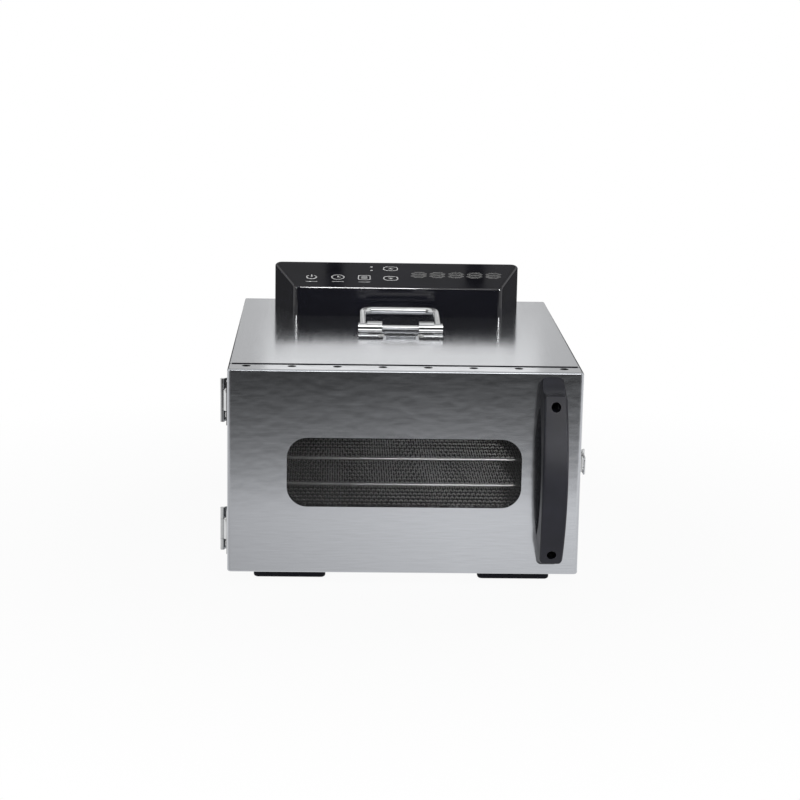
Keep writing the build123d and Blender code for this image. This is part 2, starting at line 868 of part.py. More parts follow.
with BuildPart() as console_board:
    with BuildSketch(console_face.offset(-board_top)):
        with Locations((0, board_front)):
            Rectangle(board_width, board_height)
    extrude(amount=-board_thickness)
save(console_board, "console_board")

# Digit display on the board, just under the housing's top
with BuildPart() as console_display:
    with BuildSketch(console_face.offset(-board_top)):
        with Locations((display_offset, board_front)):
            Rectangle(display_width, display_height)
    extrude(amount=board_drop - moving_gap)
save(console_display, "console_display")
save_screws("console_screws", sheet_screw, console_screw_planes)

# Grommet in the roof, for the cable between the console and the motor bay
grommet_neck = console_cable_radius - fit_gap
grommet_flange = grommet_neck + grommet_lip
with BuildPart() as cable_grommet:
    with Locations(console_cable_place):
        Cylinder(grommet_flange, grommet_lip_height, align=standing)
        Cylinder(grommet_neck, sheet, align=hanging)
    with Locations(console_cable_place - Vector(0, 0, sheet)):
        Cylinder(grommet_flange, grommet_lip_height, align=hanging)
    with Locations(console_cable_place):
        Hole(grommet_neck - grommet_wall, 2 * (sheet + grommet_lip_height))
save(cable_grommet, "cable_grommet")

# Appliance inlet: flange outside, body through the rear panel
with BuildPart() as power_inlet:
    with BuildSketch(front_plane(cabinet_back)):
        with Locations((inlet_offset, inlet_z)):
            RectangleRounded(inlet_flange_width, inlet_flange_height, inlet_flange_corner)
    extrude(amount=-inlet_flange)
    with BuildSketch(front_plane(cabinet_back)):
        with Locations((inlet_offset, inlet_z)):
            Rectangle(inlet_body_width, inlet_body_height)
    extrude(amount=inlet_body_depth)
    with BuildSketch(front_plane(cabinet_back + inlet_flange)):
        with Locations((inlet_offset, inlet_z)):
            Rectangle(
                inlet_body_width - 2 * inlet_wall,
                inlet_body_height - 2 * inlet_wall,
            )
    extrude(amount=inlet_socket_depth, mode=Mode.SUBTRACT)
    with Locations(*inlet_screw_planes):
        Hole(screw_hole, screw_length)
save(power_inlet, "power_inlet")

with BuildPart() as inlet_pins:
    with BuildSketch(front_plane(cabinet_back + inlet_flange - inlet_socket_depth)):
        with Locations(
            (inlet_offset - inlet_pin_spacing, inlet_z - inlet_pin_rise),
            (inlet_offset, inlet_z + inlet_pin_rise),
            (inlet_offset + inlet_pin_spacing, inlet_z - inlet_pin_rise),
        ):
            Rectangle(inlet_pin_thickness, inlet_pin_width)
    extrude(amount=-inlet_pin_length)
save(inlet_pins, "inlet_pins")

# Door skin: a folded pan with the window and a row of vent holes along its top
handle_screw_planes = []
for rise in (-handle_hole_spacing / 2, handle_hole_spacing / 2):
    handle_screw_planes.append(
        Plane(
            origin=(handle_offset, door_front - handle_web, handle_z + rise),
            x_dir=(1, 0, 0),
            z_dir=(0, -1, 0),
        )
    )
handle_screw_length = handle_web + sheet + screw_length
with BuildPart() as door_skin:
    with BuildSketch(front_plane(door_front)):
        with Locations((0, middle_z)):
            Rectangle(cabinet_width, cabinet_height)
    extrude(amount=-door_depth)
    fillet(door_skin.edges().filter_by(Axis.Z).group_by(Axis.Y)[0], door_bend)
    fillet(door_skin.faces().sort_by(Axis.Y)[0].edges().filter_by(Axis.X), bend_radius)
    with BuildSketch(Plane.XY.offset(floor_z + sheet)):
        with Locations((0, door_front + sheet)):
            RectangleRounded(
                2 * inner_half,
                2 * door_depth,
                door_bend - sheet,
                align=(Align.CENTER, Align.MIN),
            )
    extrude(amount=inner_height, mode=Mode.SUBTRACT)
    with BuildSketch(front_plane(door_front)):
        with Locations((0, middle_z)):
            RectangleRounded(window_width, window_height, window_corner)
    extrude(amount=-2 * sheet, mode=Mode.SUBTRACT)
    with BuildSketch(Plane.XY.offset(roof_z)):
        with Locations((0, door_front + vent_setback)):
            with GridLocations(vent_pitch, 0, vent_count, 1):
                Circle(vent_radius)
    extrude(amount=-2 * sheet, mode=Mode.SUBTRACT)
    with Locations(*hinge_door_planes, *keeper_screw_planes):
        Hole(screw_hole, screw_length)
    with Locations(*handle_screw_planes):
        Hole(handle_screw_radius + fit_gap, handle_screw_length)
save(door_skin, "door_skin")

# Window parts behind the skin: gasket, glass, and a surround that reaches the liner
pane_width = window_width + 2 * window_lap
pane_height = window_height + 2 * window_lap
pane_corner = window_corner + window_lap
glass_front = door_front + sheet + gasket_thickness
surround_front = glass_front + glass_thickness
liner_front = door_back - sheet
with BuildPart() as window_gasket:
    with BuildSketch(front_plane(door_front + sheet)):
        with Locations((0, middle_z)):
            RectangleRounded(pane_width, pane_height, pane_corner)
            RectangleRounded(
                window_width + 2 * gasket_inset,
                window_height + 2 * gasket_inset,
                window_corner + gasket_inset,
                mode=Mode.SUBTRACT,
            )
    extrude(amount=-gasket_thickness)
save(window_gasket, "window_gasket")

with BuildPart() as window_glass:
    with BuildSketch(front_plane(glass_front)):
        with Locations((0, middle_z)):
            RectangleRounded(pane_width, pane_height, pane_corner)
    extrude(amount=-glass_thickness)
save(window_glass, "window_glass")

surround_width = window_width + 2 * surround_inset
surround_height = window_height + 2 * surround_inset
surround_corner = window_corner + surround_inset
with BuildPart() as window_surround:
    with BuildSketch(front_plane(surround_front)):
        with Locations((0, middle_z)):
            RectangleRounded(
                surround_width + 2 * sheet,
                surround_height + 2 * sheet,
                surround_corner + sheet,
            )
            RectangleRounded(surround_width, surround_height, surround_corner, mode=Mode.SUBTRACT)
    extrude(amount=-(liner_front - surround_front))
save(window_surround, "window_surround")

with BuildPart() as door_liner:
    with BuildSketch(front_plane(liner_front)):
        with Locations((0, middle_z)):
            Rectangle(2 * inner_half, inner_height)
            RectangleRounded(surround_width, surround_height, surround_corner, mode=Mode.SUBTRACT)
    extrude(amount=-sheet)
save(door_liner, "door_liner")

# Seal on the back of the door, which meets the front frame
seal_half = inner_half - seal_inset
seal_height = inner_height - 2 * seal_inset
with BuildPart() as door_seal:
    with BuildSketch(front_plane(door_back)):
        with Locations((0, middle_z)):
            RectangleRounded(2 * seal_half, seal_height, seal_width + frame_corner)
            RectangleRounded(
                2 * (seal_half - seal_width),
                seal_height - 2 * seal_width,
                frame_corner,
                mode=Mode.SUBTRACT,
            )
    extrude(amount=-(door_gap - moving_gap))
save(door_seal, "door_seal")

# Bow handle: the side view between two arcs, kept inside a barrel-shaped front view.
# Each end sweeps up to its foot in a hollow curve
end_slope = Vector(handle_end_reach, handle_foot_half - handle_face_half).normalized()
cove_y = door_front - handle_end_reach / 2 + handle_end_sag * end_slope.Y
cove_half = (handle_foot_half + handle_face_half) / 2 - handle_end_sag * end_slope.X
barrel_sag = (handle_mid_width - handle_end_width) / 2
barrel_radius = (handle_foot_half**2 + barrel_sag**2) / (2 * barrel_sag)
corner_level = handle_foot_half - handle_end_round
corner_half = handle_mid_width / 2 - barrel_radius + sqrt(barrel_radius**2 - corner_level**2)
corner_cut = handle_end_round + handle_edge
outward = {-1: Align.MAX, 1: Align.MIN}
with BuildPart() as door_handle:
    with BuildSketch(Plane.YZ.offset(handle_offset - handle_mid_width / 2)):
        with BuildLine():
            foot_low = (door_front, handle_z - handle_foot_half)
            face_low = (door_front - handle_end_reach, handle_z - handle_face_half)
            face_middle = (door_front - handle_reach, handle_z)
            face_high = (door_front - handle_end_reach, handle_z + handle_face_half)
            foot_high = (door_front, handle_z + handle_foot_half)
            gap_high = (door_front, handle_z + handle_gap_half)
            gap_middle = (door_front - handle_gap_reach, handle_z)
            gap_low = (door_front, handle_z - handle_gap_half)
            ThreePointArc(foot_low, (cove_y, handle_z - cove_half), face_low)
            ThreePointArc(face_low, face_middle, face_high)
            ThreePointArc(face_high, (cove_y, handle_z + cove_half), foot_high)
            Line(foot_high, gap_high)
            ThreePointArc(gap_high, gap_middle, gap_low)
            Line(gap_low, foot_low)
        make_face()
    extrude(amount=handle_mid_width)
    with BuildSketch(front_plane(door_front)):
        with BuildLine():
            end_half = handle_end_width / 2
            mid_half = handle_mid_width / 2
            low = handle_z - handle_foot_half
            high = handle_z + handle_foot_half
            ThreePointArc(
                (handle_offset - end_half, low),
                (handle_offset - mid_half, handle_z),
                (handle_offset - end_half, high),
            )
            Line((handle_offset - end_half, high), (handle_offset + end_half, high))
            ThreePointArc(
                (handle_offset + end_half, high),
                (handle_offset + mid_half, handle_z),
                (handle_offset + end_half, low),
            )
            Line((handle_offset + end_half, low), (handle_offset - end_half, low))
        make_face()
    extrude(amount=handle_reach, mode=Mode.INTERSECT)
    outer_edges = door_handle.faces().sort_by(Axis.Y)[0].edges()
    fillet(outer_edges, handle_edge)
    # Corners of both ends, rounded along the slope from the foot to the face
    for end in (-1, 1):
        with BuildSketch(front_plane(door_front)):
            for side in (-1, 1):
                corner_x = handle_offset + side * (corner_half - handle_end_round)
                with Locations((corner_x, handle_z + end * corner_level)):
                    Rectangle(corner_cut, corner_cut, align=(outward[side], outward[end]))
                    Circle(handle_end_round, mode=Mode.SUBTRACT)
        slope = Vector(0, -end_slope.X, -end * end_slope.Y)
        extrude(amount=2 * handle_reach, dir=slope, mode=Mode.SUBTRACT)
    with BuildSketch(front_plane(door_front - handle_web)):
        with Locations(*[(plane.origin.X, plane.origin.Z) for plane in handle_screw_planes]):
            Circle(handle_bore)
    extrude(amount=handle_reach, mode=Mode.SUBTRACT)
    with Locations(*handle_screw_planes):
        Hole(handle_screw_radius + fit_gap, handle_screw_length)
save(door_handle, "door_handle")

handle_screw = pan_screw(handle_screw_radius, handle_screw_length, handle_screw_head)
save_screws("door_handle_screws", handle_screw, handle_screw_planes)

# Hinges: the door leaf has the middle knuckle, the cabinet leaf the outer two
knuckle_end = (hinge_height - knuckle_middle) / 2


def hinge_leaf_part(direction, knuckle_spans, bore):
    # direction is -1 towards the door and 1 towards the cabinet
    arm_root = Vector(-half_width - hinge_leaf / 2, hinge_y + direction * hinge_shoulder)
    arm_tip = Vector(hinge_x, hinge_y)
    arm_side = (arm_tip - arm_root).normalized().rotate(Axis.Z, 90) * (hinge_leaf / 2)
    with BuildPart() as leaves:
        for level in hinge_levels:
            bottom = level - hinge_height / 2
            with BuildSketch(Plane.XY.offset(bottom)):
                with Locations((-half_width, hinge_y + direction * hinge_leaf_centre)):
                    Rectangle(hinge_leaf, hinge_leaf_width, align=(Align.MAX, Align.CENTER))
            extrude(amount=hinge_height)
            for start, length in knuckle_spans:
                with BuildSketch(Plane.XY.offset(bottom + start)):
                    with BuildLine():
                        Polyline(
                            arm_root + arm_side,
                            arm_tip + arm_side,
                            arm_tip - arm_side,
                            arm_root - arm_side,
                            close=True,
                        )
                    make_face()
                    with Locations((hinge_x, hinge_y)):
                        Circle(knuckle_radius)
                        Circle(bore, mode=Mode.SUBTRACT)
                extrude(amount=length)
        with Locations(*hinge_cabinet_planes, *hinge_door_planes):
            Hole(screw_hole, screw_length)
    return leaves


hinge_cabinet_leaves = hinge_leaf_part(
    1,
    ((0, knuckle_end - moving_gap), (hinge_height - knuckle_end + moving_gap, knuckle_end - moving_gap)),
    hinge_pin_radius + press_gap,
)
save(hinge_cabinet_leaves, "hinge_cabinet_leaves")
hinge_door_leaves = hinge_leaf_part(-1, ((knuckle_end, knuckle_middle),), hinge_pin_radius + running_gap)
save(hinge_door_leaves, "hinge_door_leaves")

with BuildPart() as hinge_pins:
    for level in hinge_levels:
        with BuildSketch(Plane.XY.offset(level - hinge_height / 2)):
            with Locations((hinge_x, hinge_y)):
                Circle(hinge_pin_radius)
        extrude(amount=hinge_height)
save(hinge_pins, "hinge_pins")
save_screws("hinge_cabinet_screws", sheet_screw, hinge_cabinet_planes)
save_screws("hinge_door_screws", sheet_screw, hinge_door_planes)

# Draw latch: a base with two ears on the cabinet
lever_half = lever_width / 2
ear_inner = lever_half + moving_gap
with BuildPart() as latch_base:
    with BuildSketch(Plane.YZ.offset(half_width)):
        with Locations((cabinet_front + latch_base_start, latch_z)):
            Rectangle(latch_base_length, latch_base_height, align=(Align.MIN, Align.CENTER))
    extrude(amount=latch_base_thickness)
    for start in (latch_z + ear_inner, latch_z - ear_inner - latch_ear):
        with BuildSketch(Plane.XY.offset(start)):
            with Locations((half_width, lever_pivot[1])):
                Rectangle(latch_pivot_height, 2 * latch_ear_radius, align=(Align.MIN, Align.CENTER))
            with Locations(lever_pivot):
                Circle(latch_ear_radius)
                Circle(latch_pin_radius + press_gap, mode=Mode.SUBTRACT)
        extrude(amount=latch_ear)
    with Locations(*latch_screw_planes):
        Hole(screw_hole, screw_length)
save(latch_base, "latch_base")

with BuildPart() as latch_pin:
    with BuildSketch(Plane.XY.offset(latch_z - ear_inner - latch_ear)):
        with Locations(lever_pivot):
            Circle(latch_pin_radius)
    extrude(amount=2 * (ear_inner + latch_ear))
save(latch_pin, "latch_pin")

# Lever: a strip with two eyes, a wide tail and a turned-out bill
lever_heading = 90 - lever_rest_angle
bill_root = (
    lever_pivot[0] + lever_length * cos(radians(lever_heading)),
    lever_pivot[1] + lever_length * sin(radians(lever_heading)),
)
tail_root = (
    lever_pivot[0] + (lever_length - lever_tail_length) * cos(radians(lever_heading)),
    lever_pivot[1] + (lever_length - lever_tail_length) * sin(radians(lever_heading)),
)
strip_align = (Align.MIN, Align.CENTER)
with BuildPart() as latch_lever:
    with BuildSketch(Plane.XY.offset(latch_z - lever_half)):
        with Locations(lever_pivot):
            Rectangle(lever_length, lever_thickness, rotation=lever_heading, align=strip_align)
            Circle(lever_eye_radius)
        with Locations((loop_pivot_x, loop_pivot_y)):
            Circle(lever_eye_radius)
        with Locations(lever_pivot):
            Circle(latch_pin_radius + running_gap, mode=Mode.SUBTRACT)
        with Locations((loop_pivot_x, loop_pivot_y)):
            Circle(loop_wire_radius + running_gap, mode=Mode.SUBTRACT)
    extrude(amount=lever_width)
    with BuildSketch(Plane.XY.offset(latch_z - lever_tail_width / 2)):
        with Locations(tail_root):
            Rectangle(lever_tail_length, lever_thickness, rotation=lever_heading, align=strip_align)
        with Locations(bill_root):
            Circle(lever_thickness / 2)
            Rectangle(
                lever_bill,
                lever_thickness,
                rotation=lever_heading - lever_bill_angle,
                align=strip_align,
            )
    extrude(amount=lever_tail_width)
save(latch_lever, "latch_lever")

# Loop: one bent wire whose ends turn in the lever
loop_tip = lever_half - loop_engage
with BuildPart() as latch_loop:
    with BuildLine(Plane.YZ.offset(loop_pivot_x)) as loop_path:
        FilletPolyline(
            (loop_pivot_y, latch_z + loop_tip),
            (loop_pivot_y, latch_z + loop_half_height),
            (loop_bar_y, latch_z + loop_half_height),
            (loop_bar_y, latch_z - loop_half_height),
            (loop_pivot_y, latch_z - loop_half_height),
            (loop_pivot_y, latch_z - loop_tip),
            radius=loop_bend,
        )
    with BuildSketch(Plane(origin=loop_path.line @ 0, z_dir=loop_path.line % 0)):
        Circle(loop_wire_radius)
    sweep(path=loop_path.line)
save(latch_loop, "latch_loop")

# Keeper on the door's side, with the lip that the loop hooks over
with BuildPart() as latch_keeper:
    with BuildSketch(Plane.XY.offset(latch_z - keeper_height / 2)):
        with Locations((half_width, keeper_front)):
            Rectangle(latch_base_thickness, keeper_length, align=(Align.MIN, Align.MIN))
            Rectangle(keeper_rise, keeper_lip, align=(Align.MIN, Align.MIN))
    extrude(amount=keeper_height)
    with Locations(*keeper_screw_planes):
        Hole(screw_hole, screw_length)
save(latch_keeper, "latch_keeper")
save_screws("latch_screws", sheet_screw, latch_screw_planes)
save_screws("keeper_screws", sheet_screw, keeper_screw_planes)
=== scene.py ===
import math

import bmesh
import bpy
from mathutils import Matrix, Vector


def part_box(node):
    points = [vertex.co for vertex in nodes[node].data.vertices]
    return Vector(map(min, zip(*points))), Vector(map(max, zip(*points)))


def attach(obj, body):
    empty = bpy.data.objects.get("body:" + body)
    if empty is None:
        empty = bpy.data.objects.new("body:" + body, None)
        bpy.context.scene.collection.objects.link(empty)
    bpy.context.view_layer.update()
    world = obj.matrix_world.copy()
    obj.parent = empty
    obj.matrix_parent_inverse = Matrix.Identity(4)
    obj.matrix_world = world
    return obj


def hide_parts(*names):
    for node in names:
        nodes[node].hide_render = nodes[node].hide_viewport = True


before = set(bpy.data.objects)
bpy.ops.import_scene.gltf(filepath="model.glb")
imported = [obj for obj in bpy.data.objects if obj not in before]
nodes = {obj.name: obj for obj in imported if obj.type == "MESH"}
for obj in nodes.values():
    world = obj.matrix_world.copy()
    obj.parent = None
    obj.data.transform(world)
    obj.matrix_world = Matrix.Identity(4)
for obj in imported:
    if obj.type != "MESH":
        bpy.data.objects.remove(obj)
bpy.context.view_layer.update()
scene = bpy.context.scene
scene.view_settings.view_transform = "Standard"
mm = 0.001
print("frame loaded:", len(nodes), "nodes")


# Small helpers for node trees
def setInputs(tree, node, inputs):
    for key, value in inputs.items():
        if isinstance(value, bpy.types.NodeSocket):
            tree.links.new(value, node.inputs[key])
        else:
            node.inputs[key].default_value = value


def addNode(tree, kind, inputs=None, **settings):
    node = tree.nodes.new(kind)
    for key, value in settings.items():
        setattr(node, key, value)
    setInputs(tree, node, inputs or {})
    return node


def doMath(tree, operation, first, second=0.0, clamp=False):
    node = addNode(tree, "ShaderNodeMath", {0: first, 1: second}, operation=operation, use_clamp=clamp)
    return node.outputs[0]


def rangeOf(tree, value, fromLow, fromHigh, toLow, toHigh):
    node = addNode(tree, "ShaderNodeMapRange", {
        "Value": value, "From Min": fromLow, "From Max": fromHigh, "To Min": toLow, "To Max": toHigh})
    return node.outputs[0]


def mixColours(tree, factor, first, second):
    node = addNode(tree, "ShaderNodeMix", {0: factor, 6: first, 7: second}, data_type="RGBA")
    return node.outputs[2]


def grey(level, tint=(1.0, 1.0, 1.0)):
    return (level * tint[0], level * tint[1], level * tint[2], 1.0)


def emptyMaterial(name):
    material = bpy.data.materials.new(name)
    material.use_nodes = True
    material.node_tree.nodes.clear()
    return material, material.node_tree


def startMaterial(name):
    material, tree = emptyMaterial(name)
    output = addNode(tree, "ShaderNodeOutputMaterial")
    shader = addNode(tree, "ShaderNodeBsdfPrincipled")
    tree.links.new(shader.outputs[0], output.inputs["Surface"])
    place = addNode(tree, "ShaderNodeTexCoord").outputs["Object"]
    return material, tree, shader, place


def noiseAt(tree, place, scale, detail=2.0, roughness=0.5):
    stretched = addNode(tree, "ShaderNodeMapping", {"Vector": place, "Scale": scale})
    noise = addNode(tree, "ShaderNodeTexNoise", {
        "Vector": stretched.outputs[0], "Scale": 1.0, "Detail": detail, "Roughness": roughness})
    return noise.outputs[0]


noiseSpan = (0.3, 0.7)        # most of a noise's values lie between these


def spreadOf(tree, noise, low=0.0, high=1.0):
    return rangeOf(tree, noise, *noiseSpan, low, high)


def bumpFrom(tree, height, strength, depth, under=None):
    inputs = {"Height": height, "Strength": strength, "Distance": depth}
    if under:
        inputs["Normal"] = under
    return addNode(tree, "ShaderNodeBump", inputs).outputs[0]


# Steel sheet: fine brushing along one axis, and shallow rolled waves that bend what it reflects
steelSheet = {
    "grainDetail": 3.0, "grainRoughness": 0.6, "grainDepth": 0.02, "waveDetail": 1.5,
    "haze": (9.0, 9.0, 9.0), "hazeSmoother": -0.015, "hazeRougher": 0.02,
}


def brushedSteel(name, look):
    material, tree, shader, place = startMaterial(name)
    grain = noiseAt(tree, place, look["grain"], steelSheet["grainDetail"], steelSheet["grainRoughness"])
    wave = noiseAt(tree, place, look["wave"], steelSheet["waveDetail"])
    haze = noiseAt(tree, place, steelSheet["haze"])
    spread = spreadOf(tree, grain)
    rough = rangeOf(tree, spread, 0.0, 1.0, look["smoothest"], look["roughest"])
    hazed = spreadOf(tree, haze, steelSheet["hazeSmoother"], steelSheet["hazeRougher"])
    brushed = bumpFrom(tree, grain, look["bump"], steelSheet["grainDepth"] * mm)
    dark, light = grey(look["dark"], look["tint"]), grey(look["light"], look["tint"])
    setInputs(tree, shader, {
        "Base Color": mixColours(tree, spread, dark, light),
        "Metallic": look["metal"],
        "Roughness": doMath(tree, "ADD", rough, hazed),
        "Normal": bumpFrom(tree, wave, 1.0, look["waveDepth"] * mm, under=brushed),
    })
    return material


blackTint = (0.80, 0.82, 1.28)
steelTint = (0.925, 0.95, 1.0)
shellSteel = brushedSteel("shell_brushed_steel", {
    "grain": (1400.0, 26.0, 1400.0), "wave": (14.0, 9.0, 14.0), "waveDepth": 0.05, "metal": 0.96,
    "dark": 0.505, "light": 0.555, "tint": steelTint, "smoothest": 0.12, "roughest": 0.18, "bump": 0.03})
doorSteel = brushedSteel("door_brushed_steel", {
    "grain": (40.0, 1100.0, 1100.0), "wave": (55.0, 95.0, 95.0), "waveDepth": 0.12, "metal": 0.97,
    "dark": 0.505, "light": 0.555, "tint": steelTint, "smoothest": 0.08, "roughest": 0.14, "bump": 0.04})
innerSteel = brushedSteel("inner_steel", {
    "grain": (900.0, 40.0, 900.0), "wave": (40.0, 40.0, 40.0), "waveDepth": 0.03, "metal": 0.95,
    "dark": 0.42, "light": 0.52, "tint": steelTint, "smoothest": 0.20, "roughest": 0.29, "bump": 0.05})


# Plated and drawn metal: a polish with light handling marks
plating = {"marksDetail": 4.0, "marksRoughness": 0.6, "marksDepth": 0.02, "haze": (70.0, 70.0, 70.0)}


def polishedMetal(name, look):
    material, tree, shader, place = startMaterial(name)
    marks = noiseAt(tree, place, look["marks"], plating["marksDetail"], plating["marksRoughness"])
    haze = noiseAt(tree, place, plating["haze"])
    setInputs(tree, shader, {
        "Base Color": mixColours(tree, spreadOf(tree, haze), look["low"], look["high"]),
        "Metallic": 1.0,
        "Roughness": spreadOf(tree, marks, look["smoothest"], look["roughest"]),
        "Normal": bumpFrom(tree, marks, look["bump"], plating["marksDepth"] * mm),
    })
    return material


chromeTint = (0.98, 0.99, 1.0)
brightChrome = polishedMetal("bright_chrome", {
    "marks": (500.0, 500.0, 500.0), "low": grey(0.60, chromeTint), "high": grey(0.68, chromeTint),
    "smoothest": 0.06, "roughest": 0.12, "bump": 0.03})
screwSteel = polishedMetal("screw_steel", {
    "marks": (900.0, 900.0, 900.0), "low": grey(0.48), "high": grey(0.60),
    "smoothest": 0.22, "roughest": 0.36, "bump": 0.08})
# The long wires and ribs: steel darkened almost to black as painted shade, so they stay dark between the lit
# cross wires
shadedTrayWire = polishedMetal("tray_wire", {
    "marks": (700.0, 700.0, 700.0), "low": grey(0.04), "high": grey(0.06),
    "smoothest": 0.16, "roughest": 0.24, "bump": 0.05})
trayCrimp = polishedMetal("tray_crimp", {
    "marks": (700.0, 700.0, 700.0), "low": grey(0.50), "high": grey(0.62),
    "smoothest": 0.26, "roughest": 0.32, "bump": 0.05})
# The tray rim: steel brightened beyond plain steel as a painted highlight; its satin roughness is real
litTrayRim = polishedMetal("tray_satin", {
    "marks": (500.0, 900.0, 900.0), "low": grey(0.84), "high": grey(0.92),
    "smoothest": 0.34, "roughest": 0.44, "bump": 0.06})
fanAluminium = polishedMetal("fan_aluminium", {
    "marks": (60.0, 800.0, 60.0), "low": grey(0.62), "high": grey(0.72),
    "smoothest": 0.26, "roughest": 0.40, "bump": 0.06})
inletBrass = polishedMetal("inlet_brass", {
    "marks": (400.0, 400.0, 400.0), "low": (0.60, 0.43, 0.19, 1.0), "high": (0.76, 0.58, 0.28, 1.0),
    "smoothest": 0.20, "roughest": 0.34, "bump": 0.05})
heaterSteel = polishedMetal("heater_sheath", {
    "marks": (600.0, 600.0, 600.0), "low": (0.16, 0.13, 0.10, 1.0), "high": (0.26, 0.24, 0.25, 1.0),
    "smoothest": 0.38, "roughest": 0.55, "bump": 0.12})


# Moulded parts: a base shade, a fine grain and a patchy sheen
moulding = {"detail": 3.0, "grainRoughness": 0.6, "patchRoughness": 0.55}


def mouldedPart(name, look):
    material, tree, shader, place = startMaterial(name)
    grain = noiseAt(tree, place, (look["grain"],) * 3, moulding["detail"], moulding["grainRoughness"])
    patch = noiseAt(tree, place, (look["patch"],) * 3, moulding["detail"], moulding["patchRoughness"])
    spread = spreadOf(tree, patch)
    setInputs(tree, shader, {
        "Base Color": mixColours(tree, spread, look["low"], look["high"]),
        "Roughness": rangeOf(tree, spread, 0.0, 1.0, look["smoothest"], look["roughest"]),
        "Specular IOR Level": look["gloss"],
        "Normal": bumpFrom(tree, grain, look["bump"], look["grainDepth"] * mm),
    })
    return material


consoleGloss = mouldedPart("console_gloss_black", {
    "low": grey(0.0025, blackTint), "high": grey(0.004, blackTint), "gloss": 0.5, "patch": 30.0,
    "smoothest": 0.05, "roughest": 0.09, "grain": 220.0, "bump": 0.03, "grainDepth": 0.03})
consoleTouch = mouldedPart("console_touch_glass", {
    "low": grey(0.003, blackTint), "high": grey(0.005, blackTint), "gloss": 0.5, "patch": 22.0,
    "smoothest": 0.04, "roughest": 0.11, "grain": 120.0, "bump": 0.01, "grainDepth": 0.02})
handlePlastic = mouldedPart("handle_matte_black", {
    "low": grey(0.009, blackTint), "high": grey(0.014, blackTint), "gloss": 0.25, "patch": 45.0,
    "smoothest": 0.34, "roughest": 0.44, "grain": 1700.0, "bump": 0.2, "grainDepth": 0.05})
blackRubber = mouldedPart("black_rubber", {
    "low": grey(0.007, blackTint), "high": grey(0.014, blackTint), "gloss": 0.2, "patch": 60.0,
    "smoothest": 0.62, "roughest": 0.82, "grain": 1300.0, "bump": 0.2, "grainDepth": 0.05})
inletPlastic = mouldedPart("inlet_black", {
    "low": grey(0.014), "high": grey(0.022), "gloss": 0.45, "patch": 60.0,
    "smoothest": 0.38, "roughest": 0.50, "grain": 1500.0, "bump": 0.18, "grainDepth": 0.04})
displayPlastic = mouldedPart("display_block", {
    "low": grey(0.010), "high": grey(0.018), "gloss": 0.5, "patch": 80.0,
    "smoothest": 0.2, "roughest": 0.3, "grain": 900.0, "bump": 0.05, "grainDepth": 0.03})
ceramicWhite = mouldedPart("ceramic", {
    "low": (0.66, 0.62, 0.55, 1.0), "high": (0.76, 0.73, 0.67, 1.0), "gloss": 0.5, "patch": 120.0,
    "smoothest": 0.3, "roughest": 0.5, "grain": 1100.0, "bump": 0.12, "grainDepth": 0.04})
iconPrint = mouldedPart("icon_print", {
    "low": grey(0.24), "high": grey(0.31), "gloss": 0.4, "patch": 300.0,
    "smoothest": 0.45, "roughest": 0.6, "grain": 1500.0, "bump": 0.05, "grainDepth": 0.02})
digitGhost = mouldedPart("digit_ghost", {
    "low": grey(0.05), "high": grey(0.075), "gloss": 0.5, "patch": 200.0,
    "smoothest": 0.12, "roughest": 0.2, "grain": 1500.0, "bump": 0.02, "grainDepth": 0.02})


# Window pane: smoked toughened glass with faint streaks
def smokedGlass(name, look):
    material, tree, shader, place = startMaterial(name)
    streak = noiseAt(tree, place, look["streak"], look["streakDetail"])
    setInputs(tree, shader, {
        "Base Color": mixColours(tree, streak, look["low"], look["high"]),
        "Roughness": spreadOf(tree, streak, look["smoothest"], look["roughest"]),
        "Alpha": look["alpha"],
    })
    return material


windowPane = smokedGlass("window_pane", {
    "low": (0.004, 0.0045, 0.005, 1.0), "high": (0.008, 0.0085, 0.009, 1.0), "alpha": 0.42,
    "streak": (14.0, 14.0, 40.0), "streakDetail": 3.0, "smoothest": 0.02, "roughest": 0.07})


# Motor: stacked laminations across the shaft
def laminatedIron(name, look):
    material, tree, shader, place = startMaterial(name)
    layers = addNode(tree, "ShaderNodeTexWave", {
        "Vector": place, "Scale": look["layers"], "Distortion": look["waver"], "Detail": look["waverDetail"],
    }, bands_direction="Y")
    rust = noiseAt(tree, place, look["rust"], look["rustDetail"])
    setInputs(tree, shader, {
        "Base Color": mixColours(tree, rust, look["low"], look["high"]),
        "Metallic": 1.0,
        "Roughness": spreadOf(tree, rust, look["smoothest"], look["roughest"]),
        "Normal": bumpFrom(tree, layers.outputs[1], look["bump"], look["layerDepth"] * mm),
    })
    return material


motorIron = laminatedIron("motor_laminations", {
    "low": (0.20, 0.19, 0.18, 1.0), "high": (0.34, 0.33, 0.32, 1.0), "smoothest": 0.4, "roughest": 0.6,
    "layers": 320.0, "waver": 0.3, "waverDetail": 1.0, "bump": 0.4, "layerDepth": 0.1,
    "rust": (150.0, 150.0, 150.0), "rustDetail": 4.0})


# Circuit board: solder mask over tracks that run square to each other
def boardMask(name, look):
    material, tree, shader, place = startMaterial(name)
    tracks = addNode(tree, "ShaderNodeTexBrick", {
        "Vector": place, "Scale": look["tracks"], "Mortar Size": look["trackWidth"],
        "Color1": look["mask"], "Color2": look["mask"], "Mortar": look["copper"]})
    haze = noiseAt(tree, place, look["haze"])
    setInputs(tree, shader, {
        "Base Color": tracks.outputs[0],
        "Roughness": spreadOf(tree, haze, look["smoothest"], look["roughest"]),
        "Normal": bumpFrom(tree, tracks.outputs[1], look["bump"], look["trackDepth"] * mm),
    })
    return material


circuitBoard = boardMask("circuit_board", {
    "mask": (0.012, 0.085, 0.035, 1.0), "copper": (0.05, 0.16, 0.06, 1.0), "tracks": 90.0, "trackWidth": 0.03,
    "bump": 0.3, "trackDepth": 0.05, "haze": (200.0, 200.0, 200.0), "smoothest": 0.25, "roughest": 0.4})

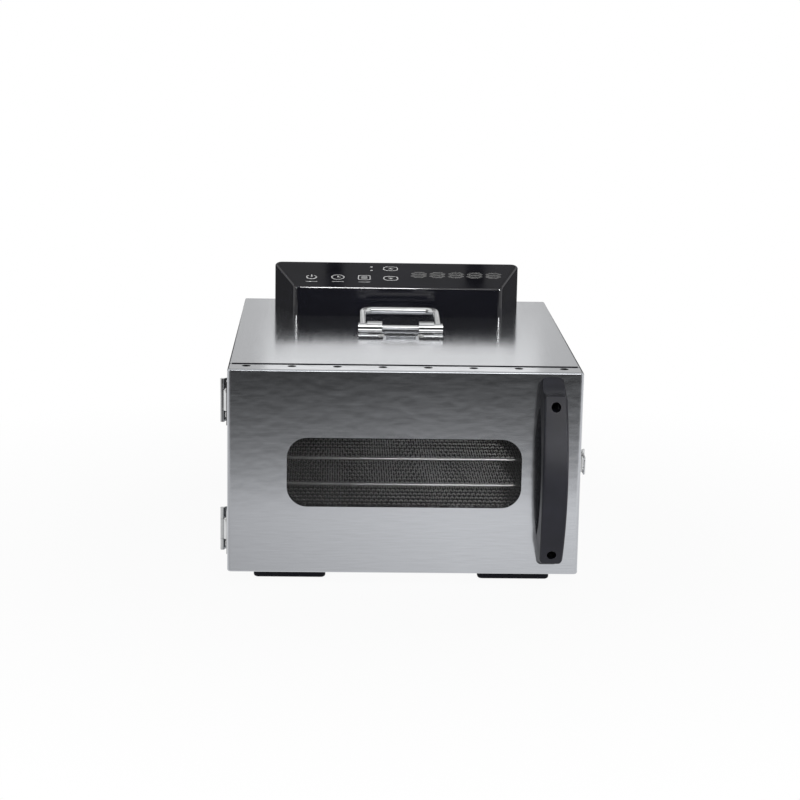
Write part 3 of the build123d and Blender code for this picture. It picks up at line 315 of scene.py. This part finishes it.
slotFinish = {
    "sheet_steel": shellSteel, "door_steel": doorSteel, "inner_steel": innerSteel,
    "bright_chrome": brightChrome, "screw_steel": screwSteel, "tray_wire": shadedTrayWire,
    "fan_aluminium": fanAluminium, "inlet_brass": inletBrass, "heater_steel": heaterSteel,
    "console_plastic": consoleGloss, "console_touch": consoleTouch, "handle_plastic": handlePlastic,
    "black_rubber": blackRubber, "inlet_plastic": inletPlastic, "display_plastic": displayPlastic,
    "ceramic": ceramicWhite, "window_pane": windowPane, "motor_iron": motorIron,
    "circuit_board": circuitBoard,
}
for node in nodes.values():
    for slot in node.material_slots:
        slot.material = slotFinish[slot.material.name.split(".")[0]]
print("finishes set:", len(slotFinish))


# Geometry Nodes: a tree with named inputs, and its result as a plain mesh
def startTree(name, inputs):
    tree = bpy.data.node_groups.new(name, "GeometryNodeTree")
    tree.interface.new_socket("Geometry", in_out="OUTPUT", socket_type="NodeSocketGeometry")
    sockets = {}
    for key, kind in inputs.items():
        socket = tree.interface.new_socket(key, in_out="INPUT", socket_type="NodeSocket" + kind)
        sockets[key] = socket.identifier
    given = addNode(tree, "NodeGroupInput").outputs
    return tree, sockets, given


def endTree(tree, parts, place, material, marked):
    joined = addNode(tree, "GeometryNodeJoinGeometry")
    for part in parts:
        tree.links.new(part, joined.inputs[0])
    moved = addNode(tree, "GeometryNodeTransform", {"Geometry": joined.outputs[0], "Translation": place})
    real = addNode(tree, "GeometryNodeRealizeInstances", {"Geometry": moved.outputs[0]})
    smooth = addNode(tree, "GeometryNodeSetShadeSmooth", {"Geometry": real.outputs[0]})
    painted = addNode(tree, "GeometryNodeSetMaterial", {"Geometry": smooth.outputs[0], "Material": material})
    for name, finish in marked.items():
        chosen = addNode(tree, "GeometryNodeInputNamedAttribute", {"Name": name}, data_type="BOOLEAN")
        painted = addNode(tree, "GeometryNodeSetMaterial", {
            "Geometry": painted.outputs[0], "Selection": chosen.outputs[0], "Material": finish})
    addNode(tree, "NodeGroupOutput", {0: painted.outputs[0]})


def meshFromTree(name, tree, sockets, values):
    piece = bpy.data.objects.new(name, bpy.data.meshes.new(name + "Seed"))
    scene.collection.objects.link(piece)
    modifier = piece.modifiers.new("shape", "NODES")
    modifier.node_group = tree
    for key, value in values.items():
        modifier[sockets[key]] = value
    graph = bpy.context.evaluated_depsgraph_get()
    made = bpy.data.meshes.new_from_object(piece.evaluated_get(graph), depsgraph=graph)
    piece.modifiers.remove(modifier)
    piece.data = made
    return piece


def linePoints(tree, count, start, step):
    return addNode(tree, "GeometryNodeMeshLine", {
        "Count": count, "Start Location": start, "Offset": step}, mode="OFFSET").outputs[0]


def vectorOf(tree, x=0.0, y=0.0, z=0.0):
    return addNode(tree, "ShaderNodeCombineXYZ", {0: x, 1: y, 2: z}).outputs[0]


def tubeAlong(tree, curve, radius, sides):
    ring = addNode(tree, "GeometryNodeCurvePrimitiveCircle", {"Resolution": sides, "Radius": radius})
    return addNode(tree, "GeometryNodeCurveToMesh", {
        "Curve": curve, "Profile Curve": ring.outputs[0], "Fill Caps": True}).outputs[0]


def copiesAt(tree, points, shape):
    return addNode(tree, "GeometryNodeInstanceOnPoints", {"Points": points, "Instance": shape}).outputs[0]


def markFaces(tree, geometry, name):
    return addNode(tree, "GeometryNodeStoreNamedAttribute", {
        "Geometry": geometry, "Name": name, "Value": True}, data_type="BOOLEAN", domain="FACE").outputs[0]


# Trays: a round-wire rim, two ribs and a woven mesh whose cross wires go over and under the long wires
trays = {
    "levels": [39.9, 66.3, 92.7, 119.1, 145.5, 171.9],
    "width": 317.0, "depth": 258.0, "corner": 10.0, "cornerSteps": 6, "rimWire": 1.6, "rimSides": 12,
    "longWires": 125, "longPitch": 2.5, "longWire": 0.50, "wireSides": 6,
    "crossWires": 18, "crossPitch": 14.0, "crossWire": 0.70, "crimp": 0.6, "crimpSteps": 4,
    "ribAt": 52.5, "ribWire": 0.8, "ribDrop": 1.25, "ribSides": 10,
}
trayLengths = {               # the tree's inputs in metres, and their values above in millimetres
    "Width": "width", "Depth": "depth", "Corner": "corner", "RimWire": "rimWire",
    "LongPitch": "longPitch", "LongWire": "longWire", "CrossPitch": "crossPitch", "CrossWire": "crossWire",
    "Crimp": "crimp", "RibAt": "ribAt", "RibWire": "ribWire", "RibDrop": "ribDrop",
}
trayCounts = {"LongWires": "longWires", "CrossWires": "crossWires"}


def trayTree(look):
    inputs = {name: "Float" for name in trayLengths}
    inputs.update({name: "Int" for name in trayCounts})
    tree, sockets, given = startTree("wovenTray", {**inputs, "Place": "Vector"})

    def times(value, share):
        return doMath(tree, "MULTIPLY", value, share)

    def firstOf(count, pitch):                # where a centred row of wires starts
        return times(doMath(tree, "SUBTRACT", given[count], 1.0), times(given[pitch], -0.5))

    halfWide = doMath(tree, "SUBTRACT", times(given["Width"], 0.5), given["RimWire"])
    halfDeep = doMath(tree, "SUBTRACT", times(given["Depth"], 0.5), given["RimWire"])

    # rim, marked for the brightened steel that paints its highlight
    outline = addNode(tree, "GeometryNodeCurvePrimitiveQuadrilateral", {
        "Width": times(halfWide, 2.0), "Height": times(halfDeep, 2.0)})
    rounded = addNode(tree, "GeometryNodeFilletCurve", {
        "Curve": outline.outputs[0], "Radius": given["Corner"], "Count": look["cornerSteps"]}, mode="POLY")
    rim = markFaces(tree, tubeAlong(tree, rounded.outputs[0], given["RimWire"], look["rimSides"]), "satin")

    # straight long wires
    run = addNode(tree, "GeometryNodeCurvePrimitiveLine", {
        "Start": vectorOf(tree, y=times(halfDeep, -1.0)), "End": vectorOf(tree, y=halfDeep)}).outputs[0]
    firstLong = firstOf("LongWires", "LongPitch")
    longStarts = linePoints(
        tree, given["LongWires"], vectorOf(tree, x=firstLong), vectorOf(tree, x=given["LongPitch"]))
    longMesh = copiesAt(tree, longStarts, tubeAlong(tree, run, given["LongWire"], look["wireSides"]))

    # cross wires, each a half wave out of step with the next
    span = addNode(tree, "GeometryNodeCurvePrimitiveLine", {
        "Start": vectorOf(tree, x=times(halfWide, -1.0)), "End": vectorOf(tree, x=halfWide)})
    samples = int(look["width"] / look["longPitch"] * look["crimpSteps"]) + 1
    fine = addNode(tree, "GeometryNodeResampleCurve", {"Curve": span.outputs[0], "Count": samples})
    firstCross = firstOf("CrossWires", "CrossPitch")
    crossStarts = linePoints(
        tree, given["CrossWires"], vectorOf(tree, y=firstCross), vectorOf(tree, y=given["CrossPitch"]))
    order = addNode(tree, "GeometryNodeInputIndex").outputs[0]
    numbered = addNode(tree, "GeometryNodeStoreNamedAttribute", {
        "Geometry": copiesAt(tree, crossStarts, fine.outputs[0]), "Name": "wire", "Value": order,
    }, data_type="FLOAT", domain="INSTANCE")
    wires = addNode(tree, "GeometryNodeRealizeInstances", {"Geometry": numbered.outputs[0]})
    wire = addNode(tree, "GeometryNodeInputNamedAttribute", {"Name": "wire"}, data_type="FLOAT")
    spot = addNode(tree, "ShaderNodeSeparateXYZ", {0: addNode(tree, "GeometryNodeInputPosition").outputs[0]})
    fromFirst = doMath(tree, "SUBTRACT", spot.outputs[0], firstLong)
    phase = doMath(tree, "ADD", doMath(tree, "DIVIDE", fromFirst, given["LongPitch"]), wire.outputs[0])
    rise = doMath(tree, "MULTIPLY", doMath(tree, "COSINE", times(phase, math.pi)), given["Crimp"])
    crimped = addNode(tree, "GeometryNodeSetPosition", {
        "Geometry": wires.outputs[0], "Offset": vectorOf(tree, z=rise)})
    crossTubes = tubeAlong(tree, crimped.outputs[0], given["CrossWire"], look["wireSides"])
    crossMesh = markFaces(tree, crossTubes, "crimp")

    # ribs under the mesh
    firstRib = vectorOf(tree, x=times(given["RibAt"], -1.0), z=times(given["RibDrop"], -1.0))
    ribStarts = linePoints(tree, 2, firstRib, vectorOf(tree, x=times(given["RibAt"], 2.0)))
    ribs = copiesAt(tree, ribStarts, tubeAlong(tree, run, given["RibWire"], look["ribSides"]))
    # long wires and ribs take the darkened steel (painted shade), the rim takes the brightened steel (painted
    # highlight)
    endTree(tree, [rim, longMesh, crossMesh, ribs], given["Place"], shadedTrayWire,
            {"satin": litTrayRim, "crimp": trayCrimp})
    return tree, sockets


wovenTray, traySockets = trayTree(trays)
trayLow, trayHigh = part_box("tray_1")
trayCentre = (trayLow[1] + trayHigh[1]) / 2
trayValues = {name: trays[key] * mm for name, key in trayLengths.items()}
trayValues.update({name: trays[key] for name, key in trayCounts.items()})
wovenTrays = []
for number, level in enumerate(trays["levels"], 1):
    tray = meshFromTree("woven_tray_%d" % number, wovenTray, traySockets, {
        **trayValues, "Place": (0.0, trayCentre, level * mm)})
    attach(tray, "tray_%d" % number)
    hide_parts("tray_%d" % number)
    wovenTrays.append(tray)
print("trays woven:", len(wovenTrays), "of", len(tray.data.polygons), "faces")


def pieceFrom(name, shape, material):
    mesh = bpy.data.meshes.new(name)
    shape.to_mesh(mesh)
    shape.free()
    mesh.materials.append(material)
    piece = bpy.data.objects.new(name, mesh)
    scene.collection.objects.link(piece)
    return piece


# Door gap: a thin black rubber lip along the top of the cabinet's front edge, a dark strip put in as painted
# shade for the shadow in the door gap
gapShadeLip = {"half": 169.0, "thick": 1.7, "deep": 5.0, "proud": 0.8, "clear": 0.05, "roundSteps": 6}


def makeGapShadeLip(look):
    shellLow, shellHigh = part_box("cabinet_shell")
    radius = look["thick"] / 2 * mm
    middle = shellLow[1] - radius - look["clear"] * mm
    top = shellHigh[2] + look["proud"] * mm
    bottom = top - look["deep"] * mm
    profile = [(middle - radius, bottom), (middle + radius, bottom)]
    for step in range(look["roundSteps"] + 1):
        angle = math.pi * step / look["roundSteps"]
        profile.append((middle + radius * math.cos(angle), top - radius + radius * math.sin(angle)))
    lip = bmesh.new()
    ends = []
    for x in (-look["half"] * mm, look["half"] * mm):
        ends.append([lip.verts.new((x, y, z)) for y, z in profile])
    count = len(profile)
    for index in range(count):
        after = (index + 1) % count
        lip.faces.new((ends[0][index], ends[0][after], ends[1][after], ends[1][index]))
    lip.faces.new(ends[0])
    lip.faces.new(ends[1])
    bmesh.ops.recalc_face_normals(lip, faces=lip.faces)
    # the lip paints the door gap's shadow as a dark strip
    piece = pieceFrom("gap_shade_lip", lip, blackRubber)
    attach(piece, "cabinet")


makeGapShadeLip(gapShadeLip)
print("door gap lined")


# Console print: strokes drawn flat in face coordinates, then laid on the sloping glass
consoleFace = {"frontZ": 249.8, "slope": 12.5, "lift": 0.02, "inkDepth": 0.06, "sharpest": 0.4}
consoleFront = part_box("console_housing")[0][1]


def strokeOn(ink, path, width, closed=False):
    count = len(path)
    sides = []
    for index, point in enumerate(path):
        before = path[index - 1] if closed or index > 0 else point
        after = path[(index + 1) % count] if closed or index < count - 1 else point
        entry = (Vector(point) - Vector(before)).normalized()
        leave = (Vector(after) - Vector(point)).normalized()
        along = (entry + leave).normalized()
        across = Vector((-along.y, along.x))
        reach = width / 2 / max(consoleFace["sharpest"], along.dot(leave if leave.length else entry))
        sides.append((Vector(point) + across * reach, Vector(point) - across * reach))
    corners = [[ink.verts.new((spot.x, spot.y, 0.0)) for spot in pair] for pair in sides]
    last = count if closed else count - 1
    for index in range(last):
        here, there = corners[index], corners[(index + 1) % count]
        ink.faces.new((here[1], there[1], there[0], here[0]))


def fillOn(ink, path):
    ink.faces.new([ink.verts.new((x, y, 0.0)) for x, y in path])


def arcPath(centre, radius, start, end, steps):
    path = []
    for step in range(steps + 1):
        angle = math.radians(start + (end - start) * step / steps)
        path.append((centre[0] + radius * math.cos(angle), centre[1] + radius * math.sin(angle)))
    return path


def roundedPath(centre, size, corner, steps=6):
    path = []
    for turn, (sx, sy) in enumerate(((1, 1), (-1, 1), (-1, -1), (1, -1))):
        middle = (centre[0] + sx * (size[0] / 2 - corner), centre[1] + sy * (size[1] / 2 - corner))
        path += arcPath(middle, corner, turn * 90, turn * 90 + 90, steps)
    return path


def inkPiece(name, ink, material, body):
    flat = ink.faces[:]
    rims = [edge for edge in ink.edges if edge.is_boundary]
    rise = Vector((0.0, 0.0, consoleFace["inkDepth"]))
    raised = {corner: ink.verts.new(corner.co + rise) for corner in ink.verts[:]}
    for face in flat:
        ink.faces.new([raised[corner] for corner in face.verts])
    for first, second in [rim.verts for rim in rims]:
        ink.faces.new((first, second, raised[second], raised[first]))
    bmesh.ops.recalc_face_normals(ink, faces=ink.faces)
    slope = math.radians(consoleFace["slope"])
    lay = Matrix.Translation((0.0, consoleFront, consoleFace["frontZ"] * mm))
    lay = lay @ Matrix.Rotation(slope, 4, "X") @ Matrix.Translation((0.0, 0.0, consoleFace["lift"] * mm))
    ink.transform(lay @ Matrix.Scale(mm, 4))
    piece = pieceFrom(name, ink, material)
    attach(piece, body)
    return piece


icons = {
    "power": (-95.5, 29.0), "clock": (-66.3, 29.6), "menu": (-37.0, 29.0),
    "up": (-7.3, 56.9), "down": (-7.6, 27.6), "marks": ((-28.7, 61.8), (-28.7, 51.2)), "markRadius": 1.5,
    "line": 1.15, "boldShare": 1.2, "thinShare": 0.9,
    "powerRadius": 5.4, "powerArc": (125, 415), "powerBar": (0.6, 7.0),
    "clockRadius": 6.8, "longHand": 0.62, "shortHand": 0.45,
    "menuSize": (13.0, 13.0), "menuCorner": 2.6, "menuBar": 3.4, "menuRises": (-2.6, 0.0, 2.6),
    "keySize": (15.5, 11.5), "keyCorner": 4.6, "arrowHalf": 3.0, "arrowFoot": 1.4, "arrowTip": 1.8,
    "captionDrop": 13.5, "captionSize": (13.0, 0.9),
}


def drawIcons(look):
    ink = bmesh.new()
    line = look["line"]
    bold = line * look["boldShare"]
    x, y = look["power"]
    strokeOn(ink, arcPath((x, y), look["powerRadius"], *look["powerArc"], steps=28), bold)
    strokeOn(ink, [(x, y + rise) for rise in look["powerBar"]], bold)
    x, y = look["clock"]
    radius = look["clockRadius"]
    strokeOn(ink, arcPath((x, y), radius, start=0, end=350, steps=35), line, closed=True)
    strokeOn(ink, [(x, y + radius * look["longHand"]), (x, y), (x + radius * look["shortHand"], y)], line)
    x, y = look["menu"]
    strokeOn(ink, roundedPath((x, y), look["menuSize"], look["menuCorner"]), line, closed=True)
    for rise in look["menuRises"]:
        ends = [(x - look["menuBar"], y + rise), (x + look["menuBar"], y + rise)]
        strokeOn(ink, ends, line * look["thinShare"])
    for key, tip in (("up", 1), ("down", -1)):
        x, y = look[key]
        strokeOn(ink, roundedPath((x, y), look["keySize"], look["keyCorner"]), line, closed=True)
        foot = y - look["arrowFoot"] * tip
        fillOn(ink, [(x - look["arrowHalf"], foot), (x + look["arrowHalf"], foot),
                     (x, y + look["arrowTip"] * tip)])
    for mark in look["marks"]:
        fillOn(ink, arcPath(mark, look["markRadius"], start=0, end=330, steps=11))
    wide, high = look["captionSize"]
    for key in ("power", "clock", "menu"):
        x, y = look[key]
        low = y - look["captionDrop"]
        strokeOn(ink, [(x - wide / 2, low), (x + wide / 2, low)], high)
    return inkPiece("console_icons", ink, iconPrint, "cabinet")


digits = {
    "count": 5, "left": 14.6, "bottom": 30.5, "wide": 17.6, "high": 17.5, "step": 20.8,
    "segment": 4.2, "gap": 0.3, "lean": 0.08,
}


def drawDigits(look):
    ink = bmesh.new()
    half = look["segment"] / 2
    gap = look["gap"]
    wide, high = look["wide"] - 2 * half, look["high"] - 2 * half
    segments = [((0, 0), (1, 0)), ((0, 1), (1, 1)), ((0, 2), (1, 2)),
                ((0, 0), (0, 1)), ((0, 1), (0, 2)), ((1, 0), (1, 1)), ((1, 1), (1, 2))]
    for place in range(look["count"]):
        left = look["left"] + half + place * look["step"]
        for first, last in segments:
            start = Vector((first[0] * wide, first[1] * high / 2))
            stop = Vector((last[0] * wide, last[1] * high / 2))
            along = (stop - start).normalized()
            across = Vector((-along.y, along.x))
            start, stop = start + along * gap, stop - along * gap
            corners = []
            for spot in (start, start + (along + across) * half, stop + (across - along) * half,
                         stop, stop - (along + across) * half, start + (along - across) * half):
                corners.append((left + spot.x + spot.y * look["lean"], look["bottom"] + half + spot.y))
            fillOn(ink, corners)
    return inkPiece("console_digits", ink, digitGhost, "cabinet")


printed = [drawIcons(icons), drawDigits(digits)]
print("console printed")


# Studio: white floor and background, cards that only reflections see, soft lamps
studio = {
    "floorSize": 6.0, "floorColour": 0.82, "nearGlow": 0.94, "nearReach": 0.30, "farReach": 0.75,
    "worldLight": 0.42,
    "rug": {                  # grades from white by the object to dark in front of it, and dims to the left
        "low": (-2.5, -4.0, 0.002), "high": (2.5, -0.19, 0.002), "from": -1.3, "to": -0.19,
        "stops": ((0.0, 0.05), (0.09, 0.075), (0.19, 0.12), (0.28, 0.19), (0.37, 0.26), (0.46, 0.35),
                  (0.53, 0.47), (0.60, 0.62), (0.675, 0.80), (0.715, 0.96), (0.77, 1.0), (0.94, 0.91),
                  (1.0, 0.88)),
        "leftAt": -0.2, "rightAt": 0.06, "leftShare": 0.74, "rightShare": 1.05,
    },
    "cards": {                # lowest corner, highest corner, level
        "front_card": ((-3.0, -4.0, 0.0), (3.0, -4.0, 1.4), 0.05),
        "front_high_card": ((-3.0, -4.0, 1.4), (3.0, -4.0, 2.6), 0.4),
        "ceiling_card": ((-3.0, -4.0, 2.6), (3.0, 2.4, 2.6), 0.22),
        "overhead_card": ((-3.0, -1.2, 2.59), (3.0, 1.2, 2.59), 1.0),
        "back_card": ((-3.0, 2.4, 0.0), (3.0, 2.4, 2.6), 0.63),
        "back_bright_card": ((-0.22, 2.39, 0.69), (0.38, 2.39, 1.3), 1.22),
        "back_dark_card": ((-0.8, 2.395, 1.45), (0.9, 2.395, 2.6), 0.17),
        "left_pole": ((-0.09, 2.38, 1.3), (-0.05, 2.38, 2.6), 0.02),
        "right_pole": ((0.24, 2.38, 1.3), (0.285, 2.38, 2.6), 0.02),
        "left_back_card": ((-1.4, 0.7, 0.0), (-0.28, 0.7, 0.42), 0.07),
        "right_back_card": ((0.28, 0.7, 0.0), (1.4, 0.7, 0.42), 0.07),
    },
    "lamps": {                # place, target, size, watts, spread in degrees, what it lights
        "front_softbox": ((0.5, -2.4, 1.9), (0.0, 0.0, 0.1), (1.6, 1.0), 20.0, 180.0, "allButTrays"),
        "window_beam": ((0.27, -2.1, 0.60), (0.08, -0.10, 0.11), (0.14, 0.12), 0.36, 12.0, "trays"),
        "handle_lamp": ((0.85, -2.0, 0.5), (0.142, -0.21, 0.14), (0.4, 0.5), 0.8, 30.0, "handle"),
        "console_lamp": ((-0.02, -0.95, 1.3), (-0.02, 0.08, 0.23), (0.214, 0.25), 0.28, 20.0, "console"),
        "left_strip": ((-1.6, -0.9, 0.5), (-0.1, 0.13, 0.23), (0.25, 1.0), 40.0, 180.0, "console"),
        "right_strip": ((1.9, -1.0, 0.75), (0.1, 0.13, 0.23), (0.25, 1.4), 80.0, 180.0, "console"),
    },
}
lampTargets = {
    "trays": wovenTrays, "allButTrays": wovenTrays, "handle": [nodes["door_handle"]],
    "console": [nodes["console_housing"], nodes["console_glass"]] + printed,
}


def seenRays(tree):
    path = addNode(tree, "ShaderNodeLightPath").outputs
    seen = doMath(tree, "ADD", path["Is Camera Ray"], path["Is Glossy Ray"], clamp=True)
    return doMath(tree, "ADD", seen, path["Is Transmission Ray"], clamp=True)


def makeWorld(look):
    world = bpy.data.worlds.new("white_room")
    scene.world = world
    world.use_nodes = True
    tree = world.node_tree
    tree.nodes.clear()
    light = addNode(tree, "ShaderNodeBackground", {"Color": grey(1.0), "Strength": look["worldLight"]})
    white = addNode(tree, "ShaderNodeBackground", {"Color": grey(1.0), "Strength": 1.0})
    mixed = addNode(tree, "ShaderNodeMixShader", {
        0: seenRays(tree), 1: light.outputs[0], 2: white.outputs[0]})
    addNode(tree, "ShaderNodeOutputWorld", {"Surface": mixed.outputs[0]})


def flatPiece(name, corners):
    mesh = bpy.data.meshes.new(name)
    mesh.from_pydata(corners, [], [(0, 1, 2, 3)])
    piece = bpy.data.objects.new(name, mesh)
    scene.collection.objects.link(piece)
    return piece


def makeFloor(look):
    half = look["floorSize"]
    floor = flatPiece("floor", [
        (-half, -half, 0.0), (half, -half, 0.0), (half, half, 0.0), (-half, half, 0.0)])
    material, tree = emptyMaterial("floor_white")
    paint = addNode(tree, "ShaderNodeBsdfDiffuse", {"Color": grey(look["floorColour"])})
    glow = addNode(tree, "ShaderNodeEmission", {"Color": grey(1.0), "Strength": 1.0})
    place = addNode(tree, "ShaderNodeTexCoord").outputs["Object"]
    reach = addNode(tree, "ShaderNodeVectorMath", {0: place}, operation="LENGTH").outputs["Value"]
    far = rangeOf(tree, reach, look["nearReach"], look["farReach"], look["nearGlow"], 1.0)
    share = doMath(tree, "MULTIPLY", seenRays(tree), far)
    mixed = addNode(tree, "ShaderNodeMixShader", {0: share, 1: paint.outputs[0], 2: glow.outputs[0]})
    addNode(tree, "ShaderNodeOutputMaterial", {"Surface": mixed.outputs[0]})
    floor.data.materials.append(material)


def reflectOnly(card, material):
    card.data.materials.append(material)
    card.visible_camera = False
    card.visible_diffuse = False
    card.visible_shadow = False
    card.visible_transmission = False


def cardPaint(name, level):
    material, tree = emptyMaterial(name)
    glow = addNode(tree, "ShaderNodeEmission", {"Color": grey(1.0), "Strength": level})
    addNode(tree, "ShaderNodeOutputMaterial", {"Surface": glow.outputs[0]})
    return material, tree, glow


def makeCard(name, low, high, level):
    card = flatPiece(name, [low, (high[0], low[1], low[2]), high, (low[0], high[1], high[2])])
    reflectOnly(card, cardPaint(name, level)[0])


def makeRug(look):
    low, high = look["low"], look["high"]
    rug = flatPiece("front_rug", [low, (high[0], low[1], low[2]), high, (low[0], high[1], low[2])])
    material, tree, glow = cardPaint("front_rug", 1.0)
    place = addNode(tree, "ShaderNodeTexCoord").outputs["Object"]
    across, along = addNode(tree, "ShaderNodeSeparateXYZ", {0: place}).outputs[:2]
    ramp = addNode(tree, "ShaderNodeValToRGB", {0: rangeOf(tree, along, look["from"], look["to"], 0.0, 1.0)})
    share = rangeOf(tree, across, look["leftAt"], look["rightAt"], look["leftShare"], look["rightShare"])
    stops = ramp.color_ramp.elements
    for number, (position, level) in enumerate(look["stops"]):
        stop = stops[number] if number < 2 else stops.new(position)      # a new ramp has two stops
        stop.position = position
        stop.color = grey(level)
    setInputs(tree, glow, {"Color": ramp.outputs[0], "Strength": share})
    reflectOnly(rug, material)


def makeLamp(name, place, target, size, power, spread, lights):
    lamp = bpy.data.lights.new(name, "AREA")
    lamp.shape = "RECTANGLE"
    lamp.size, lamp.size_y = size
    lamp.energy = power
    lamp.spread = math.radians(spread)
    holder = bpy.data.objects.new(name, lamp)
    aim = Vector(target) - Vector(place)
    holder.matrix_world = Matrix.Translation(place) @ aim.to_track_quat("-Z", "Y").to_matrix().to_4x4()
    scene.collection.objects.link(holder)
    targets = bpy.data.collections.new(name + "_targets")
    for piece in lampTargets[lights]:
        targets.objects.link(piece)
    for member in targets.collection_objects:
        member.light_linking.link_state = "EXCLUDE" if lights == "allButTrays" else "INCLUDE"
    holder.light_linking.receiver_collection = targets


makeWorld(studio)
makeFloor(studio)
makeRug(studio["rug"])
for cardName, (cardLow, cardHigh, cardLevel) in studio["cards"].items():
    makeCard(cardName, cardLow, cardHigh, cardLevel)
for lampName, lampLook in studio["lamps"].items():
    makeLamp(lampName, *lampLook)
print("studio lit:", len(studio["lamps"]), "lamps")

view = {
    "across": -0.07011, "ahead": 2.02022, "height": 0.62646,   # ahead is measured from the door's front
    "yaw": 0.031966, "pitch": 0.213162, "roll": 0.0175486,     # right, down and clockwise, in radians
    "lens": 96.26, "sensor": 36.0,
}


def makeCamera(look):
    yaw, pitch, roll = look["yaw"], look["pitch"], look["roll"]
    ahead = Vector((math.sin(yaw) * math.cos(pitch), math.cos(yaw) * math.cos(pitch), -math.sin(pitch)))
    level = Vector((math.cos(yaw), -math.sin(yaw), 0.0))
    upright = level.cross(ahead)
    right = level * math.cos(roll) + upright * math.sin(roll)
    up = upright * math.cos(roll) - level * math.sin(roll)
    lens = bpy.data.cameras.new("photo_view")
    lens.lens = look["lens"]
    lens.sensor_width = look["sensor"]
    camera = bpy.data.objects.new("photo_view", lens)
    turn = Matrix((right, up, -ahead)).transposed().to_4x4()
    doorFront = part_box("door_skin")[0][1]
    place = (look["across"], doorFront - look["ahead"], look["height"])
    camera.matrix_world = Matrix.Translation(place) @ turn
    scene.collection.objects.link(camera)
    scene.camera = camera


makeCamera(view)
print("camera placed")
